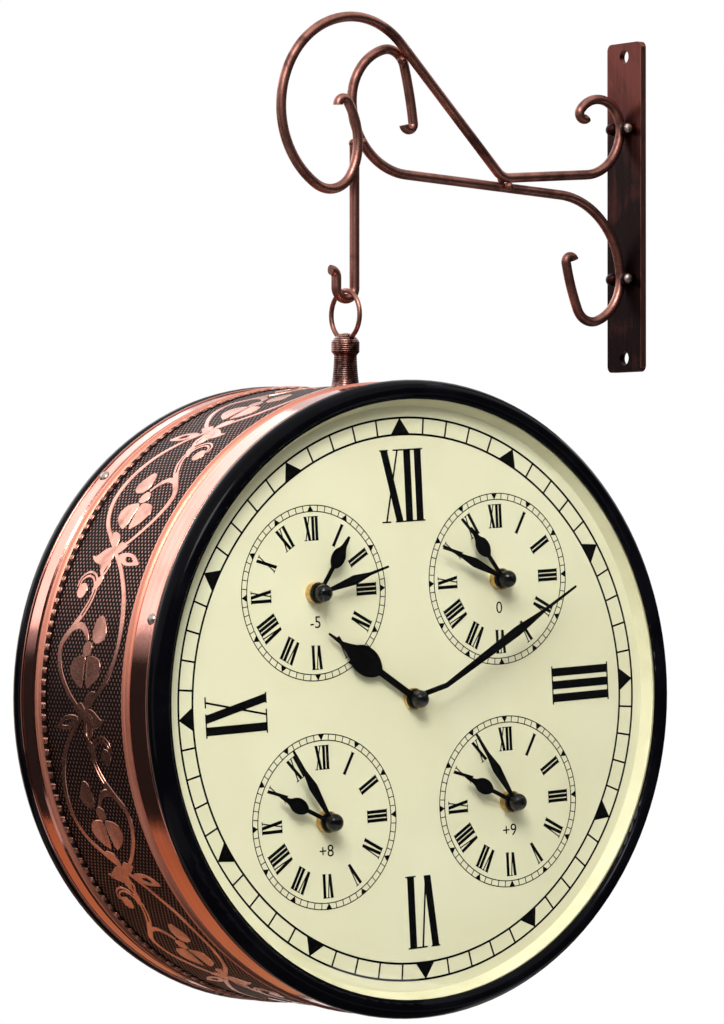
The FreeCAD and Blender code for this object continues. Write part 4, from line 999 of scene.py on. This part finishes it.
def dark_surround():
    """Dark ring round the object, higher in front and fading out at its upper edge, for contrast in gloss"""
    top, fade, foot = 0.62, 0.34, -1.2
    radius, segments = 2.3, 48
    front_rise = 1.0
    rise_full, rise_none = CASE_AXIS.y - 0.9, CASE_AXIS.y - 0.3
    look = new_look("dark_card", roughness=MATT, base_color=DARK)
    tree = look.tree
    parts = split(tree, look.spot)
    rise = ranged(tree, parts["Y"], front_rise, 0.0, rise_full, rise_none)
    height = calc(tree, "SUBTRACT", parts["Z"], rise)
    share = ranged(tree, height, 0.0, 1.0, CASE_AXIS.z + top - fade, CASE_AXIS.z + top)
    clear = add(tree, "ShaderNodeBsdfTransparent")
    faded = add(tree, "ShaderNodeMixShader", {0: share, 1: look.shader.outputs["BSDF"],
                                              2: clear.outputs["BSDF"]})
    tree.links.new(faded.outputs["Shader"], look.sink.inputs["Surface"])
    bm = lathed([(radius, top + front_rise), (radius, foot)], segments, closed=False)
    upright = Matrix.Translation(CASE_AXIS) @ Matrix.Rotation(math.pi / 2, 4, "X")
    bmesh.ops.transform(bm, matrix=upright, verts=bm.verts)
    only_in_metal(staged("dark_card", bm, look.material), through_glass=True)


def floor_and_cards():
    """Pale floor far below, the dark ring and the card under the object, and the glowing cards"""
    look = new_look("pale_floor", roughness=MATT, base_color=PALE)
    white_to_the_eye(look.tree, look.shader.outputs["BSDF"], look.sink, in_metal=False)
    plane("floor", FLOOR_SIZE, (0, 0, CASE_AXIS.z - FLOOR_DROP), look.material)
    dark_surround()
    under = new_look("under_card", roughness=MATT, base_color=DARK)
    only_in_metal(plane("under_card", UNDER_SIZE, CASE_AXIS - Vector((0, 0, UNDER_DROP)), under.material))
    for name, values in GLOWING_CARDS.items():
        glowing_card(name, **values)


def lamp(name, place, size, energy):
    """Round lamp that looks at the case"""
    light = bpy.data.lights.new(name, "AREA")
    light.shape = "DISK"
    light.size = size
    light.energy = energy
    item = shown(name, light)
    item.location = place
    item.rotation_euler = (CASE_AXIS - Vector(place)).to_track_quat("-Z", "Y").to_euler()
    return item


def camera():
    """Level view from the left of the front dial, fitted to the dial's circles and the bracket"""
    focal_pixels = 4800.0
    frame_width = 724.0
    data = bpy.data.cameras.new("view")
    data.sensor_fit = "HORIZONTAL"
    data.sensor_width = 36.0
    data.lens = focal_pixels / frame_width * data.sensor_width
    data.clip_end = 50.0
    item = shown("view", data)
    item.location = (-1.41317, -1.74934, -0.16208)
    ahead = Vector((0.58416, 0.81159, 0.00879))
    item.rotation_euler = ahead.to_track_quat("-Z", "Y").to_euler()
    bpy.context.scene.camera = item


world_light()
floor_and_cards()
lamp("key", place=(-1.5, -1.7, 1.6), size=1.3, energy=57)
lamp("rear_key", place=(1.2, 1.8, 1.6), size=1.3, energy=44).visible_glossy = False
camera()
bpy.context.scene.view_settings.view_transform = "Standard"
